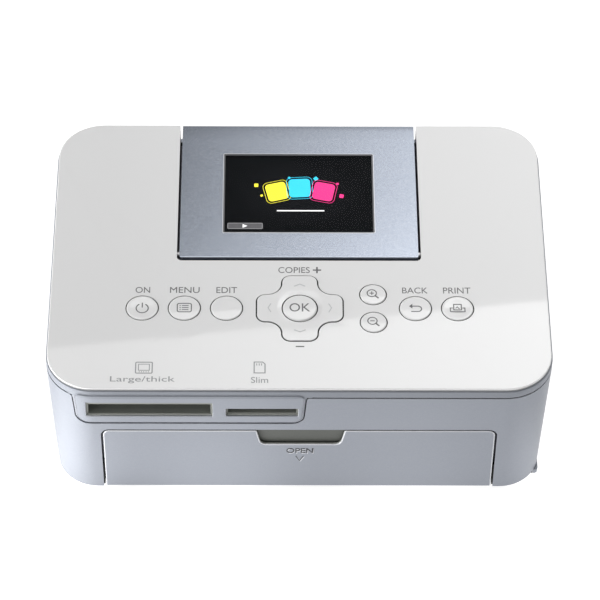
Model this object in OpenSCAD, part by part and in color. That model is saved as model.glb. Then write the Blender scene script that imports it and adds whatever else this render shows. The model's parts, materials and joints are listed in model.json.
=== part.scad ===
// Compact photo printer: casing, tilting screen, keys, card slots, doors and print engine.
// Millimetres. Origin under the middle of the printer, on the surface it stands on. Front is -Y, up is +Z.

/* [Casing] */
// Width of the casing at the top
case_w = 178.8; // [176.8:1:184.8]
// Depth of the top plate
plate_d = 129; // [128:1:134]
// Height from the feet to the top plate
case_h = 60.5; // [60.5:0.5:66]
// Corner radius of the top plate
corner_r = 17; // [15:0.5:18]
// Thickness of the top plate
plate_t = 1.2; // [1:0.1:1.6]
// Rounding of the top plate's upper edge
plate_edge = 0.3; // [0.2:0.1:0.5]
// Step from the casing in to the plate's edge, at the front and the sides
plate_step = 0.6; // [0.4:0.1:0.8]
// Thickness of the casing walls
wall = 2; // [1.6:0.1:2.2]
// Height of the feet under the case
foot_h = 3.7; // [3.2:0.1:4.5]
// Radius of a foot
foot_r = 6; // [4:0.5:7]
// How far each side leans in from the top plate to the bottom
lean_in = 2.2; // [1.6:0.1:2.6]
// Distance from the top of the plate down to the seam of the upper frame
seam_drop = 5; // [4.6:0.1:5.2]
// Step from the casing's side in to the upper frame
frame_step = 0.1; // [0.1:0.05:0.3]
// Depth of the rear cover behind the top plate
rear_out = 6; // [4:0.5:8]
// Distance from the side of the casing in to the rear cover
rear_in = 15.4; // [13.4:1:17.4]
// Gap between fixed casing parts
part_gap = 0.3; // [0.2:0.05:0.4]
// Gap round doors, keys and the screen
move_gap = 0.5; // [0.4:0.05:0.6]
// Radial clearance of a running fit
run_fit = 0.05; // [0.03:0.01:0.08]

/* [Screen unit] */
// Width of the tilting screen unit
screen_w = 86.4; // [80:0.2:90]
// Distance from the plate's front edge to the front of the screen unit
screen_front = 62.3; // [61:0.5:64]
// Gap beside the screen unit
screen_gap = 0.9; // [0.6:0.1:1.2]
// Thickness of the screen unit
screen_t = 8; // [7.6:0.1:8.4]
// Width of the display window
window_w = 55.2; // [48:0.2:60]
// Height of the display window
window_h = 39.6; // [34:0.2:42]
// Distance from the front of the screen unit to the window
window_y = 12.2; // [11:0.2:14]
// How far the rear end of the screen unit curves down
screen_droop = 0.8; // [0.4:0.1:2]
// Length of the curved rear end
droop_len = 8; // [6:0.2:12]
// Distance from the front of the screen unit back to its hinge
screen_hinge_in = 4; // [3.8:0.1:4.4]
// Depth of the hinge under the top of the screen unit
screen_hinge_drop = 3.2; // [3:0.1:3.4]
// Radius of the screen's hinge pins
screen_pin_r = 1.25; // [1:0.05:1.5]

/* [Keys] */
// Diameter of the round keys
key_d = 11.2; // [10.6:0.1:12]
// Diameter of the two zoom keys
zoom_d = 9.3; // [9:0.1:10]
// Diameter of the OK key
ok_d = 12.3; // [11.6:0.1:13]
// Distance between neighbouring keys
key_pitch = 15; // [14.8:0.1:16]
// Distance from the plate's front edge to the row of keys
key_row = 37.9; // [37:0.1:39]
// How far a key travels
key_travel = 0.6; // [0.4:0.05:0.6]
// How far the round keys stand above the plate
key_proud = 0.25; // [0.1:0.05:0.4]
// How far the OK key stands above the plate
ok_proud = 0.5; // [0.4:0.1:1]
// Half width of the four-way pad, centre to arm end
pad_half = 15.2; // [15:0.1:16.4]
// Half width of one arm of the pad
pad_arm = 6.2; // [6:0.1:6.6]
// Radius between the arms of the pad
pad_fillet = 5.5; // [4:0.1:5.8]

/* [Card slots] */
// Width of the wide card slot
cf_w = 44.4; // [44:0.1:45]
// Height of the wide card slot
cf_h = 7.6; // [7:0.1:7.8]
// Width of the narrow card slot
sd_w = 25.4; // [24.8:0.1:26]
// Height of the narrow card slot
sd_h = 4.4; // [4:0.1:4.6]
// How far the raised part of the slot panel stands out
panel_proud = 0.2; // [0.1:0.05:0.3]
// Thickness of the panel that holds the slots
slot_panel_t = 3.6; // [3:0.1:4]

/* [Doors] */
// Distance from the side of the casing in to the front door
door_in = 19.9; // [19.7:0.1:24]
// Distance from the top plate down to the top of the front door
door_drop = 23.7; // [23:0.1:26]
// Gap round the front door
door_gap = 0.75; // [0.5:0.05:0.8]
// Thickness of the front door
door_t = 3.2; // [3:0.1:3.6]
// Depth of the finger recess in the front door
notch_t = 1.2; // [1:0.1:1.6]
// Thickness of the side door
side_door_t = 2.2; // [2:0.1:2.4]
// Distance from the top plate down to the top of the side door
side_drop = 9.7; // [9.5:0.1:12]
// Radius of a door pivot
door_pin_r = 1.5; // [1.2:0.05:1.6]

/* [Print engine] */
// Room kept beside the paper for the side plates, the gears and the motor
engine_side = 39.4; // [38.4:0.5:41.4]
// Radius of the platen roller
platen_r = 6.5; // [6:0.1:7]
// Radius of the capstan that draws the paper
capstan_r = 3.2; // [3:0.1:3.4]
// Radius of the pinch roller
pinch_r = 3.4; // [3.2:0.1:3.6]
// Radius of the pick-up rollers
pickup_r = 8; // [7:0.1:8.2]
// Gear module
gear_m = 0.7; // [0.68:0.01:0.71]
// Width of the gears
gear_w = 5; // [4:0.5:6]
// Radius of the drive shafts
shaft_r = 2; // [1.8:0.05:2.4]
// Thickness of the metal side plates
sheet_t = 1.2; // [1:0.1:1.5]
// Gap left for paper between two rollers
paper_gap = 0.3; // [0.2:0.05:0.4]

/* [Hidden] */
$fn = 64;
eps = 0.01;

// Casing
side_base = 0.3;
half_w = case_w / 2;
paper_w = case_w - 2 * engine_side;
rear_half = half_w - rear_in;
door_half = half_w - door_in;
door_h = case_h - foot_h - door_drop;
side_door_h = case_h - foot_h - side_base - side_drop;
front_y = -(plate_d + rear_out) / 2;
back_y = front_y + plate_d;
rear_y = back_y + rear_out;
seam_z = case_h - seam_drop;
floor_z = foot_h + wall;
core_x = half_w - corner_r;
core_y0 = front_y + corner_r;
core_y1 = back_y - corner_r;
deck_z1 = case_h - plate_t;
deck_z0 = deck_z1 - wall;
plate_r = corner_r - plate_step;
plate_y1 = back_y - plate_r;
lean_angle = atan(lean_in / (case_h - foot_h));
function side_r(z) = corner_r - lean_in * (case_h - z) / (case_h - foot_h);
function face_y(z) = core_y0 - side_r(z);
function face_x(z) = core_x + side_r(z);
frame_lip = 2.2;
groove_in = 0.8;
pillar_h = 8;
pillar_x = half_w - 13.4;
pillar_y0 = front_y + 12.5;
pillar_y1 = back_y - 9.5;
screw_r = 1.4;
screw_head_r = 2.8;
screw_head_h = 1.2;
small_screw_r = 0.9;
small_head_r = 1.7;
small_head_h = 1.1;
foot_in = 0.6;
foot_x = half_w - 27.4;
foot_y0 = front_y + 23.5;
foot_y1 = back_y - 13.5;

// Screen unit
screen_y0 = front_y + screen_front;
screen_y1 = back_y + 0.4;
screen_edge = 0.5;
screen_corner = 1;
hinge_y = screen_y0 + screen_hinge_in;
hinge_z = case_h - screen_hinge_drop;
split_z = hinge_z - 2.1;
well_x = screen_w / 2 + screen_gap;
well_y = screen_y0 - screen_gap - 0.6;
well_wall = 1.6;
well_corner = 1.8;
well_z = case_h - screen_t - 0.8;
window_y0 = screen_y0 + window_y;
window_y1 = window_y0 + window_h;
lens_t = 0.8;
lens_sunk = 0.2;
lcd_t = 2.4;
lcd_rim = 1.4;
pin_in = 7;

// Keys
key_y = front_y + key_row;
left_key_x = -40.9;
right_key_x = 48.9;
pad_x = 0.2;
zoom_x = 26.4;
zoom_dy = 6.55;
board_t = 1;
key_board_z = deck_z0 - 4.2;
switch_z = key_board_z + board_t;
switch_h = 1.9;
switch_top = switch_z + switch_h;
switch_w = 6;
small_switch_w = 4;
plunger_r = 1.5;
plunger_z = switch_top - 0.4;
switch_hole = key_travel + 0.6;
flange_w = 0.7;
flange_t = 1;
pad_flange_t = 0.9;
key_floor = deck_z1 - 0.3;
pad_floor = deck_z1 - 0.8;
pusher_x = pad_half - 2;
pusher_r = 1;
ring_z = switch_top + 0.1;
ring_r0 = ok_d / 2 + 1.6;
ring_w = 1.6;
ring_h = 1.1;
ring_pin_r = 0.4;
post_t = 1.2;
pad_relief = 0.4;
pad_dish = 0.25;
post_x = ring_r0 + ring_w + 0.4;
ok_flange_r = ok_d / 2 + 0.7;
ok_flange_t = 0.5;
ok_flange_z = switch_top + key_travel + 0.15;
key_board_y0 = key_y - pad_half - 0.8;
key_board_y1 = key_y + pad_half + 0.8;
key_board_x = key_pitch - left_key_x + key_d / 2 + 2.3;
key_board_in = 3.4;
key_screws = [for (p = [[-1, 1], [1, 1], [1, -1], [0.33, -1]])
    [p[0] * (key_board_x - key_board_in), key_y + p[1] * (pad_half + 0.8 - key_board_in)]];

// Card slots
panel_x0 = -half_w + 9.9;
panel_z0 = case_h - 19.3;
panel_r0 = 4;
panel_r1 = 4;
panel_slant0 = 0.7;
panel_slant1 = 0.8;
panel_fillet = 1.2;
touch_in = 0.02;
cushion_in = 0.7;
cushion_r = 2;
cushion_z1 = case_h - 3.5;
slot_z0 = case_h - 15.1;
slot_gap = 4.7;
cf_x0 = panel_x0 + 4.6;
sd_x0 = cf_x0 + cf_w + slot_gap;
sd_z0 = slot_z0 + 0.1;
panel_x1 = sd_x0 + sd_w + 2.8;
socket_wall = 1.4;
socket_y = face_y(slot_z0) + slot_panel_t + 0.6;
cf_depth = 30;
sd_depth = 25;
cf_card_w = 43;
cf_card_h = 5.0;
sd_card_w = 24.1;
slot_fit = 0.05;
mouth_in = 0.9;
sd_card_h = 2.4;
card_board_z = slot_z0 - 2;
card_board_t = 1.4;
shelf_z = panel_z0 - part_gap - 2;
shelf_t = 1.6;
card_screws = [[panel_x0 + 6, socket_y + cf_depth - 3], [panel_x1 - 3, socket_y + cf_depth - 3]];

// Doors
door_axis_y = 3;
door_axis_z = 3.3;
door_top = door_h;
door_corner = 2.4;
notch_x0 = -15.3;
notch_x1 = 16.4;
notch_h = 7.9;
notch_slope = 1.3;
notch_r = 2.4;
catch_x0 = notch_x0 - 4;
catch_x1 = notch_x1 + 4;
catch_h = notch_h + 2;
door_swing_r = norm([door_axis_y, door_axis_z]) + 0.5;
stub_len = 3;
block_w = 5;
web_in = 1;
web_h = 12;
stop_t = 1.4;
side_y0 = core_y0 + 0.6;
side_axis_x = -2.6;
side_axis_y = 39;
side_hinge_r = 2.6;
side_ear_z = 6;
side_pin_r = 1.2;
side_pin_z0 = 1.2;
side_pin_z1 = side_base + side_door_h + 1.9;
lip_out = 7.2;
lip_w = 8.6;
lip_t = 2;
lip_drop = 2.6;
lip_r = 1.2;
lip_back = 8;

// Print engine
paper_z = floor_z + 20.3;
paper_side = 8;
plate_x = paper_w / 2 + paper_side;
roller_half = paper_w / 2 + 2;
gear_x = -(plate_x + sheet_t + 2);
outer_x = gear_x - gear_w - 1.4;
engine_z0 = floor_z + 4.1;
engine_z1 = case_h - 10.7;
engine_y0 = back_y - 87.5;
engine_y1 = back_y - 5.5;
platen_y = back_y - 44;
platen_z = paper_z - platen_r;
capstan_y = back_y - 14.8;
capstan_z = paper_z - capstan_r;
pinch_z = paper_z + paper_gap + pinch_r;
platen_n = 32;
capstan_n = 24;
idler_n = 16;
takeup_n = 32;
pickup_n = 26;
pinion_n = 12;
function pitch_r(n) = gear_m * n / 2;
function polar(c, d, a) = [c[0] + d * cos(a), c[1] + d * sin(a)];
platen_c = [platen_y, platen_z];
capstan_c = [capstan_y, capstan_z];
// The idler meets both its neighbours, so its place follows from the three distances
idler_d0 = pitch_r(platen_n) + pitch_r(idler_n);
idler_d1 = pitch_r(capstan_n) + pitch_r(idler_n);
axle_d = norm(capstan_c - platen_c);
axle_a = atan2(capstan_z - platen_z, capstan_y - platen_y);
// Angle at a in the triangle with sides a_b, a_c and b_c
function corner_angle(a_b, a_c, b_c) = acos((a_b * a_b + a_c * a_c - b_c * b_c) / (2 * a_b * a_c));
idler_a = axle_a - corner_angle(idler_d0, axle_d, idler_d1);
idler_c = polar(platen_c, idler_d0, idler_a);
takeup_a = 130;
takeup_c = polar(platen_c, pitch_r(platen_n) + pitch_r(takeup_n), takeup_a);
pickup_a = 189;
pickup_c = polar(takeup_c, pitch_r(takeup_n) + pitch_r(pickup_n), pickup_a);
pinion_a = 45;
pinion_c = polar(platen_c, pitch_r(platen_n) + pitch_r(pinion_n), pinion_a);
supply_c = [platen_y + 14.5, takeup_c[1]];
// A gear's turn that puts its teeth in the gaps of the gear it meets
function mesh_turn(na, turn_a, a, nb) = a + 180 - (0.5 - (a - turn_a) * na / 360) * 360 / nb;
platen_turn = 0;
idler_turn = mesh_turn(platen_n, platen_turn, idler_a, idler_n);
idler_out_a = atan2(capstan_c[1] - idler_c[1], capstan_c[0] - idler_c[0]);
capstan_turn = mesh_turn(idler_n, idler_turn, idler_out_a, capstan_n);
takeup_turn = mesh_turn(platen_n, platen_turn, takeup_a, takeup_n);
pickup_turn = mesh_turn(takeup_n, takeup_turn, pickup_a, pickup_n);
pinion_turn = mesh_turn(platen_n, platen_turn, pinion_a, pinion_n);
motor_r = 10.5;
motor_len = 13.5;
head_pivot = [platen_y - 22, engine_z1 - 2.3];
head_pin_r = 1.5;
head_half = paper_w / 2 + 1;
head_w = 8;
head_arm_x = head_half + 2.6;
head_arm_t = 1.2;
head_top = head_pivot[1] - 2.5;
head_z0 = paper_z + paper_gap;
ribbon_z0 = paper_z + 1;
ribbon_z1 = head_pivot[1] - 2.3;
bay_z = floor_z + 4;
bay_t = 1.5;
bay_half = plate_x - 1.5;
leg_w = 10;
tab_l = 9;
board_z = floor_z + 1.5;
main_board_t = 1.6;

// Shapes drawn in X and Z, pushed along Y
module along_y(y0, y1) {
    translate([0, y1, 0]) rotate([90, 0, 0]) linear_extrude(y1 - y0) children();
}

// Shapes drawn in Y and Z, pushed along X
module along_x(x0, x1) {
    translate([x0, 0, 0]) rotate([90, 0, 90]) linear_extrude(x1 - x0) children();
}

module box(x0, x1, y0, y1, z0, z1) {
    translate([x0, y0, z0]) cube([x1 - x0, y1 - y0, z1 - z0]);
}

// A round bar along X at a point given in Y and Z
module bar_x(c, r, x0, x1) {
    translate([x0, c[0], c[1]]) rotate([0, 90, 0]) cylinder(h = x1 - x0, r = r);
}

module both_x() {
    children();
    mirror([1, 0, 0]) children();
}

module round_rect(x0, x1, y0, y1, r) {
    translate([x0 + r, y0]) square([x1 - x0 - 2 * r, y1 - y0]);
    translate([x0, y0 + r]) square([x1 - x0, y1 - y0 - 2 * r]);
    for (x = [x0 + r, x1 - r], y = [y0 + r, y1 - r]) translate([x, y]) circle(r);
}

// The casing's outer form between two heights, shrunk by inset: a core with round corners that lean in
module case_form(z0, z1, inset = 0) {
    r0 = side_r(z0) - inset;
    r1 = side_r(z1) - inset;
    along_y(core_y0, core_y1)
        polygon([[-core_x - r0, z0], [core_x + r0, z0], [core_x + r1, z1], [-core_x - r1, z1]]);
    along_x(-core_x, core_x)
        polygon([[core_y0 - r0, z0], [core_y0, z0], [core_y0, z1], [core_y0 - r1, z1]]);
    along_x(-core_x, core_x)
        polygon([[core_y1, z0], [core_y1 + r0, z0], [core_y1 + r1, z1], [core_y1, z1]]);
    corner_turns(core_y1) rotate_extrude(angle = 90) polygon([[0, z0], [r0, z0], [r1, z1], [0, z1]]);
}

// Puts a quarter turn at each corner of a core that ends at y1
module corner_turns(y1) {
    translate([core_x, y1, 0]) children();
    translate([-core_x, y1, 0]) rotate([0, 0, 90]) children();
    translate([-core_x, core_y0, 0]) rotate([0, 0, 180]) children();
    translate([core_x, core_y0, 0]) rotate([0, 0, 270]) children();
}

// Half section of the top plate's rim, from the core outwards
module plate_rim() {
    translate([0, deck_z1]) square([plate_r, plate_t - plate_edge]);
    translate([0, deck_z1]) square([plate_r - plate_edge, plate_t]);
    translate([plate_r - plate_edge, case_h - plate_edge]) circle(plate_edge);
}

module plate_form() {
    box(-core_x, core_x, core_y0, plate_y1, deck_z1, case_h);
    corner_turns(plate_y1) rotate_extrude(angle = 90) plate_rim();
    along_y(core_y0, plate_y1) {
        translate([core_x, 0]) plate_rim();
        translate([-core_x, 0]) mirror([1, 0]) plate_rim();
    }
    along_x(-core_x, core_x) {
        translate([plate_y1, 0]) plate_rim();
        translate([core_y0, 0]) mirror([1, 0]) plate_rim();
    }
}

// Frame of the leaning front face: x across, y inwards, z up the face from the bottom edge
module on_front() {
    translate([0, face_y(foot_h), foot_h]) rotate([lean_angle, 0, 0]) children();
}

// Frame of the leaning right side: -x inwards, y along the side, z up the face from the bottom edge
module on_right() {
    translate([face_x(foot_h), 0, foot_h]) rotate([0, lean_angle, 0]) children();
}

// A gear in Y and Z with its teeth turned by turn, between x0 and x1, with a bore
module gear(n, c, turn, x0, x1, bore_r) {
    r = pitch_r(n);
    step = 360 / n;
    root = r - 1.15 * gear_m;
    tip = r + 0.85 * gear_m;
    difference() {
        along_x(x0, x1) translate(c) rotate(turn)
            polygon([for (i = [0:n - 1], p = [[-0.30, root], [-0.09, tip],
            [0.09, tip], [0.30, root]]) [p[1] * cos((i + p[0]) * step), p[1] * sin((i + p[0]) * step)]]);
        bar_x(c, bore_r, x0 - 1, x1 + 1);
    }
}

// Four-way pad outline, grown by g
module pad_outline(g) {
    arm = pad_arm + g;
    r = pad_fillet - g;
    for (a = [0, 90]) rotate(a) round_rect(-pad_half - g, pad_half + g, -arm, arm, 3 + g);
    for (a = [0:90:270]) rotate(a) difference() {
        translate([arm - 1, arm - 1]) square(r + 1);
        translate([arm + r, arm + r]) circle(r);
    }
}

// The places of the round keys
module at_keys() {
    for (i = [-1:1]) translate([left_key_x + i * key_pitch, key_y, 0]) children();
    for (i = [-0.5, 0.5]) translate([right_key_x + i * key_pitch, key_y, 0]) children();
}

module at_zoom_keys() {
    for (s = [-1, 1]) translate([zoom_x, key_y + s * zoom_dy, 0]) children();
}

module at_pad() {
    translate([pad_x, key_y, 0]) children();
}

module top_plate() {
    color("white") difference() {
        plate_form();
        translate([0, 0, deck_z1 - 1]) linear_extrude(plate_t + 2)
            round_rect(-well_x, well_x, well_y, rear_y, well_corner);
        at_keys() cylinder(h = case_h + 1, r = key_d / 2 + move_gap - 0.15);
        at_zoom_keys() cylinder(h = case_h + 1, r = zoom_d / 2 + move_gap - 0.15);
        at_pad() linear_extrude(case_h + 1) pad_outline(move_gap);
    }
}

// Outline of the slot panel on the front, grown by g: sides that lean in and round lower corners.
// At the seam it runs into the frame's lower edge with a fillet at each side
module panel_outline(g) {
    z0 = panel_z0 - g;
    c0 = [panel_x0 + panel_slant0 + panel_r0, panel_z0 + panel_r0];
    c1 = [panel_x1 - panel_slant1 - panel_r1, panel_z0 + panel_r1];
    p0 = [panel_x0 - g, seam_z];
    p1 = [panel_x1 + g, seam_z];
    polygon([[p0[0], deck_z0], p0, touch(c0, panel_r0 + g - touch_in, p0, 1), [c0[0], z0], [c1[0], z0],
        touch(c1, panel_r1 + g - touch_in, p1, -1), p1, [p1[0], deck_z0]]);
    translate(c0) circle(panel_r0 + g);
    translate(c1) circle(panel_r1 + g);
}

// Fillets where the panel's sides meet the seam, grown by g
module panel_fillets(g) {
    z = seam_z + part_gap - panel_fillet;
    difference() {
        for (x = [panel_x0 - panel_fillet, panel_x1 - cushion_in]) translate([x, z])
            square([panel_fillet + cushion_in, panel_fillet]);
        for (x = [panel_x0 - panel_fillet, panel_x1 + panel_fillet]) translate([x, z])
            circle(panel_fillet - touch_in - g);
    }
}

// The raised part of the panel: drawn in from the panel's edge, with round upper corners
module cushion_outline() {
    intersection() {
        panel_outline(-cushion_in);
        round_rect(panel_x0 + cushion_in, panel_x1 - cushion_in, panel_z0 - cushion_r, cushion_z1, cushion_r);
    }
}

// A layer of the front from inset0 to inset1 under the casing's form
module front_layer(inset0, inset1) {
    difference() {
        case_form(panel_z0 - 1, deck_z0, inset0);
        case_form(panel_z0 - 2, deck_z0 + 1, inset1);
    }
}

module upper_frame() {
    color("lightsteelblue") difference() {
        union() {
            difference() {
                case_form(seam_z, deck_z1, frame_step);
                case_form(seam_z - 1, deck_z0, frame_step + wall);
                difference() {
                    case_form(seam_z - 1, seam_z + part_gap, -1);
                    case_form(seam_z - 2, seam_z + 1, groove_in);
                }
            }
            difference() {
                case_form(seam_z - frame_lip, deck_z0, wall + part_gap);
                case_form(seam_z - frame_lip - 1, deck_z0 + 1, wall + part_gap + 1.4);
            }
            intersection() {
                front_layer(frame_step, slot_panel_t);
                along_y(front_y - 1, core_y0 - 2) {
                    panel_outline(0);
                    panel_fillets(0);
                }
            }
            intersection() {
                front_layer(-panel_proud, slot_panel_t);
                along_y(front_y - 1, core_y0 - 2) cushion_outline();
            }
            intersection() {
                box(-well_x - well_wall, well_x + well_wall, well_y - well_wall, back_y,
                    well_z - well_wall, deck_z1);
                case_form(well_z - 2, deck_z1, frame_step);
            }
            for (p = key_screws) translate([p[0], p[1], switch_z])
                cylinder(h = deck_z0 - switch_z + eps, r = 2.6);
        }
        box(-well_x, well_x, well_y, back_y - well_wall, well_z, case_h);
        box(-well_x, well_x, well_y, back_y + 1, case_h - screen_t - 0.4, case_h);
        at_keys() translate([0, 0, deck_z0 - 1]) cylinder(h = 5, r = key_d / 2 + flange_w + move_gap);
        at_zoom_keys() translate([0, 0, deck_z0 - 1]) cylinder(h = 5, r = zoom_d / 2 + flange_w + move_gap);
        at_pad() translate([0, 0, deck_z0 - 1]) linear_extrude(5) pad_outline(flange_w + move_gap);
        box(cf_x0, cf_x0 + cf_w, front_y - 1, socket_y + 1, slot_z0, slot_z0 + cf_h);
        box(sd_x0, sd_x0 + sd_w, front_y - 1, socket_y + 1, sd_z0, sd_z0 + sd_h);
        bar_x([hinge_y, hinge_z], screen_pin_r, -well_x - 3, well_x + 3);
        for (p = key_screws) translate([p[0], p[1], switch_z - 1]) cylinder(h = 4, r = small_screw_r);
    }
}

// Corner pillars that take the base screws
module pillars() {
    intersection() {
        case_form(floor_z, floor_z + pillar_h, wall / 2);
        both_x() {
            box(door_half + door_gap + 0.4, half_w, front_y, core_y0 - 0.5, floor_z, floor_z + pillar_h);
            box(core_x - 0.5, half_w, core_y1 + 2, back_y, floor_z, floor_z + pillar_h);
        }
    }
}

// Blocks beside the front door with the bores that its stubs turn in
module door_hinge_blocks() {
    intersection() {
        case_form(foot_h, floor_z + pillar_h, wall / 2);
        on_front() both_x() box(door_half + door_gap, door_half + door_gap + block_w, 0,
            door_axis_y + 3.4, -1, 8);
    }
}

// Webs that close the lower ends of the gaps beside the door from behind
module door_gap_webs() {
    on_front() both_x() box(door_half + part_gap, door_half + door_gap + 0.2, web_in, door_axis_y + 3.4,
        0, web_h);
}

// Ribs behind the door that it shuts against
module door_stops() {
    y0 = door_t + part_gap;
    on_front() {
        box(-door_half, door_half, y0, y0 + stop_t, door_top - 4, door_top + 2.6);
        box(-door_half - 1, door_half + 1, wall / 2, y0 + stop_t, door_top + 1.2, door_top + 2.6);
        both_x() box(door_half - 1.2, door_half + 1.6, y0, y0 + stop_t, web_h, door_top + 2);
        both_x() box(door_half + door_gap, door_half + door_gap + 1.4, wall / 2, y0 + stop_t, web_h,
            door_top + 2);
    }
}

// The cut in the right side for the side door, grown by g
module side_outline(g, top) {
    translate([side_y0 - g, -3]) square([side_axis_y - 2 - side_y0 + g, top + 3 + g]);
    translate([side_axis_y - 3, side_ear_z - g]) square([3 + side_hinge_r + g, top - side_ear_z + 2 * g]);
}

module main_case() {
    top = side_base + side_door_h;
    color("lightsteelblue") difference() {
        union() {
            difference() {
                union() {
                    difference() {
                        case_form(foot_h, seam_z);
                        case_form(foot_h - 1, seam_z + 1, wall);
                    }
                    pillars();
                    door_hinge_blocks();
                    door_stops();
                    side_ears();
                    card_shelf();
                }
                on_front() {
                    along_y(-1, door_t + part_gap) front_outline(door_gap);
                    bar_x([door_axis_y, door_axis_z], door_swing_r, -door_half - door_gap,
                        door_half + door_gap);
                }
            }
            door_gap_webs();
        }
        on_front() bar_x([door_axis_y, door_axis_z], door_pin_r + run_fit, -door_half - stub_len - 0.5,
            door_half + stub_len + 0.5);
        along_y(front_y - 1, core_y0 - 2) {
            panel_outline(part_gap);
            panel_fillets(part_gap);
        }
        box(-well_x - well_wall - part_gap, well_x + well_wall + part_gap, core_y1, back_y + 1,
            well_z - well_wall - part_gap, case_h);
        on_right() {
            translate([-wall - 1, 0, 0]) along_x(0, wall + 2) side_outline(move_gap, top);
            translate([side_axis_x, side_axis_y, side_ear_z - move_gap])
                cylinder(h = top - side_ear_z + 2 * move_gap, r = side_hinge_r + move_gap);
            translate([side_axis_x, side_axis_y, side_pin_z0])
                cylinder(h = side_pin_z1 - side_pin_z0, r = side_pin_r);
        }
        for (x = [-pillar_x, pillar_x], y = [pillar_y0, pillar_y1]) translate([x, y, floor_z - 1])
            cylinder(h = pillar_h - 0.5, r = screw_r);
        rear_windows();
        usb_window();
        for (p = card_screws) translate([p[0], p[1], shelf_z - 1]) cylinder(h = 8, r = small_screw_r);
    }
}

// Blocks above and below the side door that hold its pin
module side_ears() {
    top = side_base + side_door_h;
    intersection() {
        case_form(foot_h, seam_z - 1, wall / 2);
        on_right() {
            box(-6, 0, side_axis_y - 3.4, side_axis_y + 3.6, 0, side_ear_z - move_gap);
            box(-6, 0, side_axis_y - 3.4, side_axis_y + 3.6, top + move_gap, side_pin_z1 + 0.3);
        }
    }
}

// Shelf behind the slot panel that carries the card board
module card_shelf() {
    x1 = panel_x1 + 3;
    y1 = socket_y + cf_depth;
    intersection() {
        case_form(shelf_z - 1, card_board_z, wall / 2);
        union() {
            box(-half_w, x1, front_y, y1, shelf_z, shelf_z + shelf_t);
            for (p = card_screws) translate([p[0], p[1], shelf_z])
                cylinder(h = card_board_z - shelf_z, r = 2.4);
        }
    }
}

// Rear wall openings behind the rear cover: paper way and vents
slot_half = paper_w / 2 + 3;
paper_slot_z0 = paper_z - 2.4;
paper_slot_z1 = paper_z + 3.2;
cover_z1 = well_z - well_wall - 3;
vent_z1 = cover_z1 - 4;
vent_share = 0.65;
vent_z0 = vent_z1 - vent_share * (vent_z1 - paper_slot_z1);
inlet_x = half_w - 24.4;
inlet_w = 9;
inlet_h = 10.5;
inlet_z = board_z + main_board_t;
usb_y = socket_y + cf_depth - 4.6;
usb_w = 8;
usb_h = 4.2;
usb_len = 9;
usb_z = card_board_z + card_board_t;

module rear_windows() {
    box(-slot_half - 1, slot_half + 1, back_y - 8, back_y + 1, paper_slot_z0 - 1, paper_slot_z1 + 1);
    box(-slot_half, slot_half, back_y - 8, back_y + 1, vent_z0 - 1, vent_z1 + 1);
    box(inlet_x - inlet_w / 2 - part_gap, inlet_x + inlet_w / 2 + part_gap, back_y - 8, back_y + 1,
        inlet_z - part_gap, inlet_z + inlet_h + part_gap);
}

module usb_window() {
    box(-half_w - 1, -face_x(foot_h) + 6, usb_y - usb_w / 2 - part_gap, usb_y + usb_w / 2 + part_gap,
        usb_z - part_gap, usb_z + usb_h + part_gap);
}

module base_tray() {
    lower = foot_h + screw_head_h;
    color("slategray") difference() {
        union() {
            case_form(foot_h, floor_z, wall + part_gap / 2);
            for (p = board_posts) translate([p[0], p[1], floor_z - eps])
                cylinder(h = board_z - floor_z + eps, r = 2.5);
        }
        on_front() box(-door_half - door_gap - block_w - part_gap,
            door_half + door_gap + block_w + part_gap, -1,
            door_axis_y + 4, -2, 8);
        on_right() box(-side_door_t - move_gap - 1, 5, side_y0 - 2, side_axis_y - 3, -3, 8);
        on_right() box(-6.4, 5, side_axis_y - 4, side_axis_y + 4.2, -3, 8);
        for (x = [-pillar_x, pillar_x], y = [pillar_y0, pillar_y1]) translate([x, y, 0]) {
            translate([0, 0, foot_h - 1]) cylinder(h = wall + 2, r = screw_r + 0.15);
            translate([0, 0, foot_h - 1]) cylinder(h = screw_head_h + 1, r = screw_head_r + 0.2);
        }
        for (x = [-foot_x, foot_x], y = [foot_y0, foot_y1]) translate([x, y, foot_h - 1])
            cylinder(h = 1 + foot_in, r = foot_r);
        for (p = concat(board_posts, chassis_screws)) translate([p[0], p[1], foot_h + 0.6])
            cylinder(h = 6, r = small_screw_r);
    }
}

module feet() {
    color("dimgray") for (x = [-foot_x, foot_x], y = [foot_y0, foot_y1]) translate([x, y, 0]) {
        rotate_extrude() union() {
            square([foot_r, foot_h + foot_in - eps]);
        }
    }
}

module case_screws() {
    color("silver") for (x = [-pillar_x, pillar_x], y = [pillar_y0, pillar_y1]) translate([x, y, foot_h]) {
        difference() {
            cylinder(h = screw_head_h, r = screw_head_r);
            translate([0, 0, -1]) cylinder(h = 1.6, r = 1.2, $fn = 6);
        }
        translate([0, 0, screw_head_h - eps]) cylinder(h = wall + pillar_h - 3.4, r = screw_r);
    }
}

module front_outline(g) {
    x = door_half + g;
    r = door_corner + g;
    z1 = door_top + g;
    translate([-x, -2]) square([2 * x, z1 - r + 2]);
    translate([-x + r, 0]) square([2 * (x - r), z1]);
    for (s = [-1, 1]) translate([s * (x - r), z1 - r]) circle(r);
}

module front_door() {
    color("lightsteelblue") on_front() difference() {
        union() {
            intersection() {
                along_y(0, door_t) front_outline(0);
                box(-half_w, half_w, -1, 10, 0, case_h);
            }
            bar_x([door_axis_y, door_axis_z], door_axis_y, -door_half, door_half);
            bar_x([door_axis_y, door_axis_z], door_pin_r, -door_half - stub_len, door_half + stub_len);
        }
        along_y(-1, door_t + 1) notch_outline();
        box(catch_x0 - move_gap, catch_x1 + move_gap, notch_t, door_t + 1,
            door_top - catch_h - move_gap, door_top + 1);
    }
}

// A point where a line from p touches a circle about c
function touch(c, r, p, side) = let(d = p - c, a = atan2(d[1], d[0]) + side * acos(r / norm(d)))
    c + r * [cos(a), sin(a)];

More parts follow.
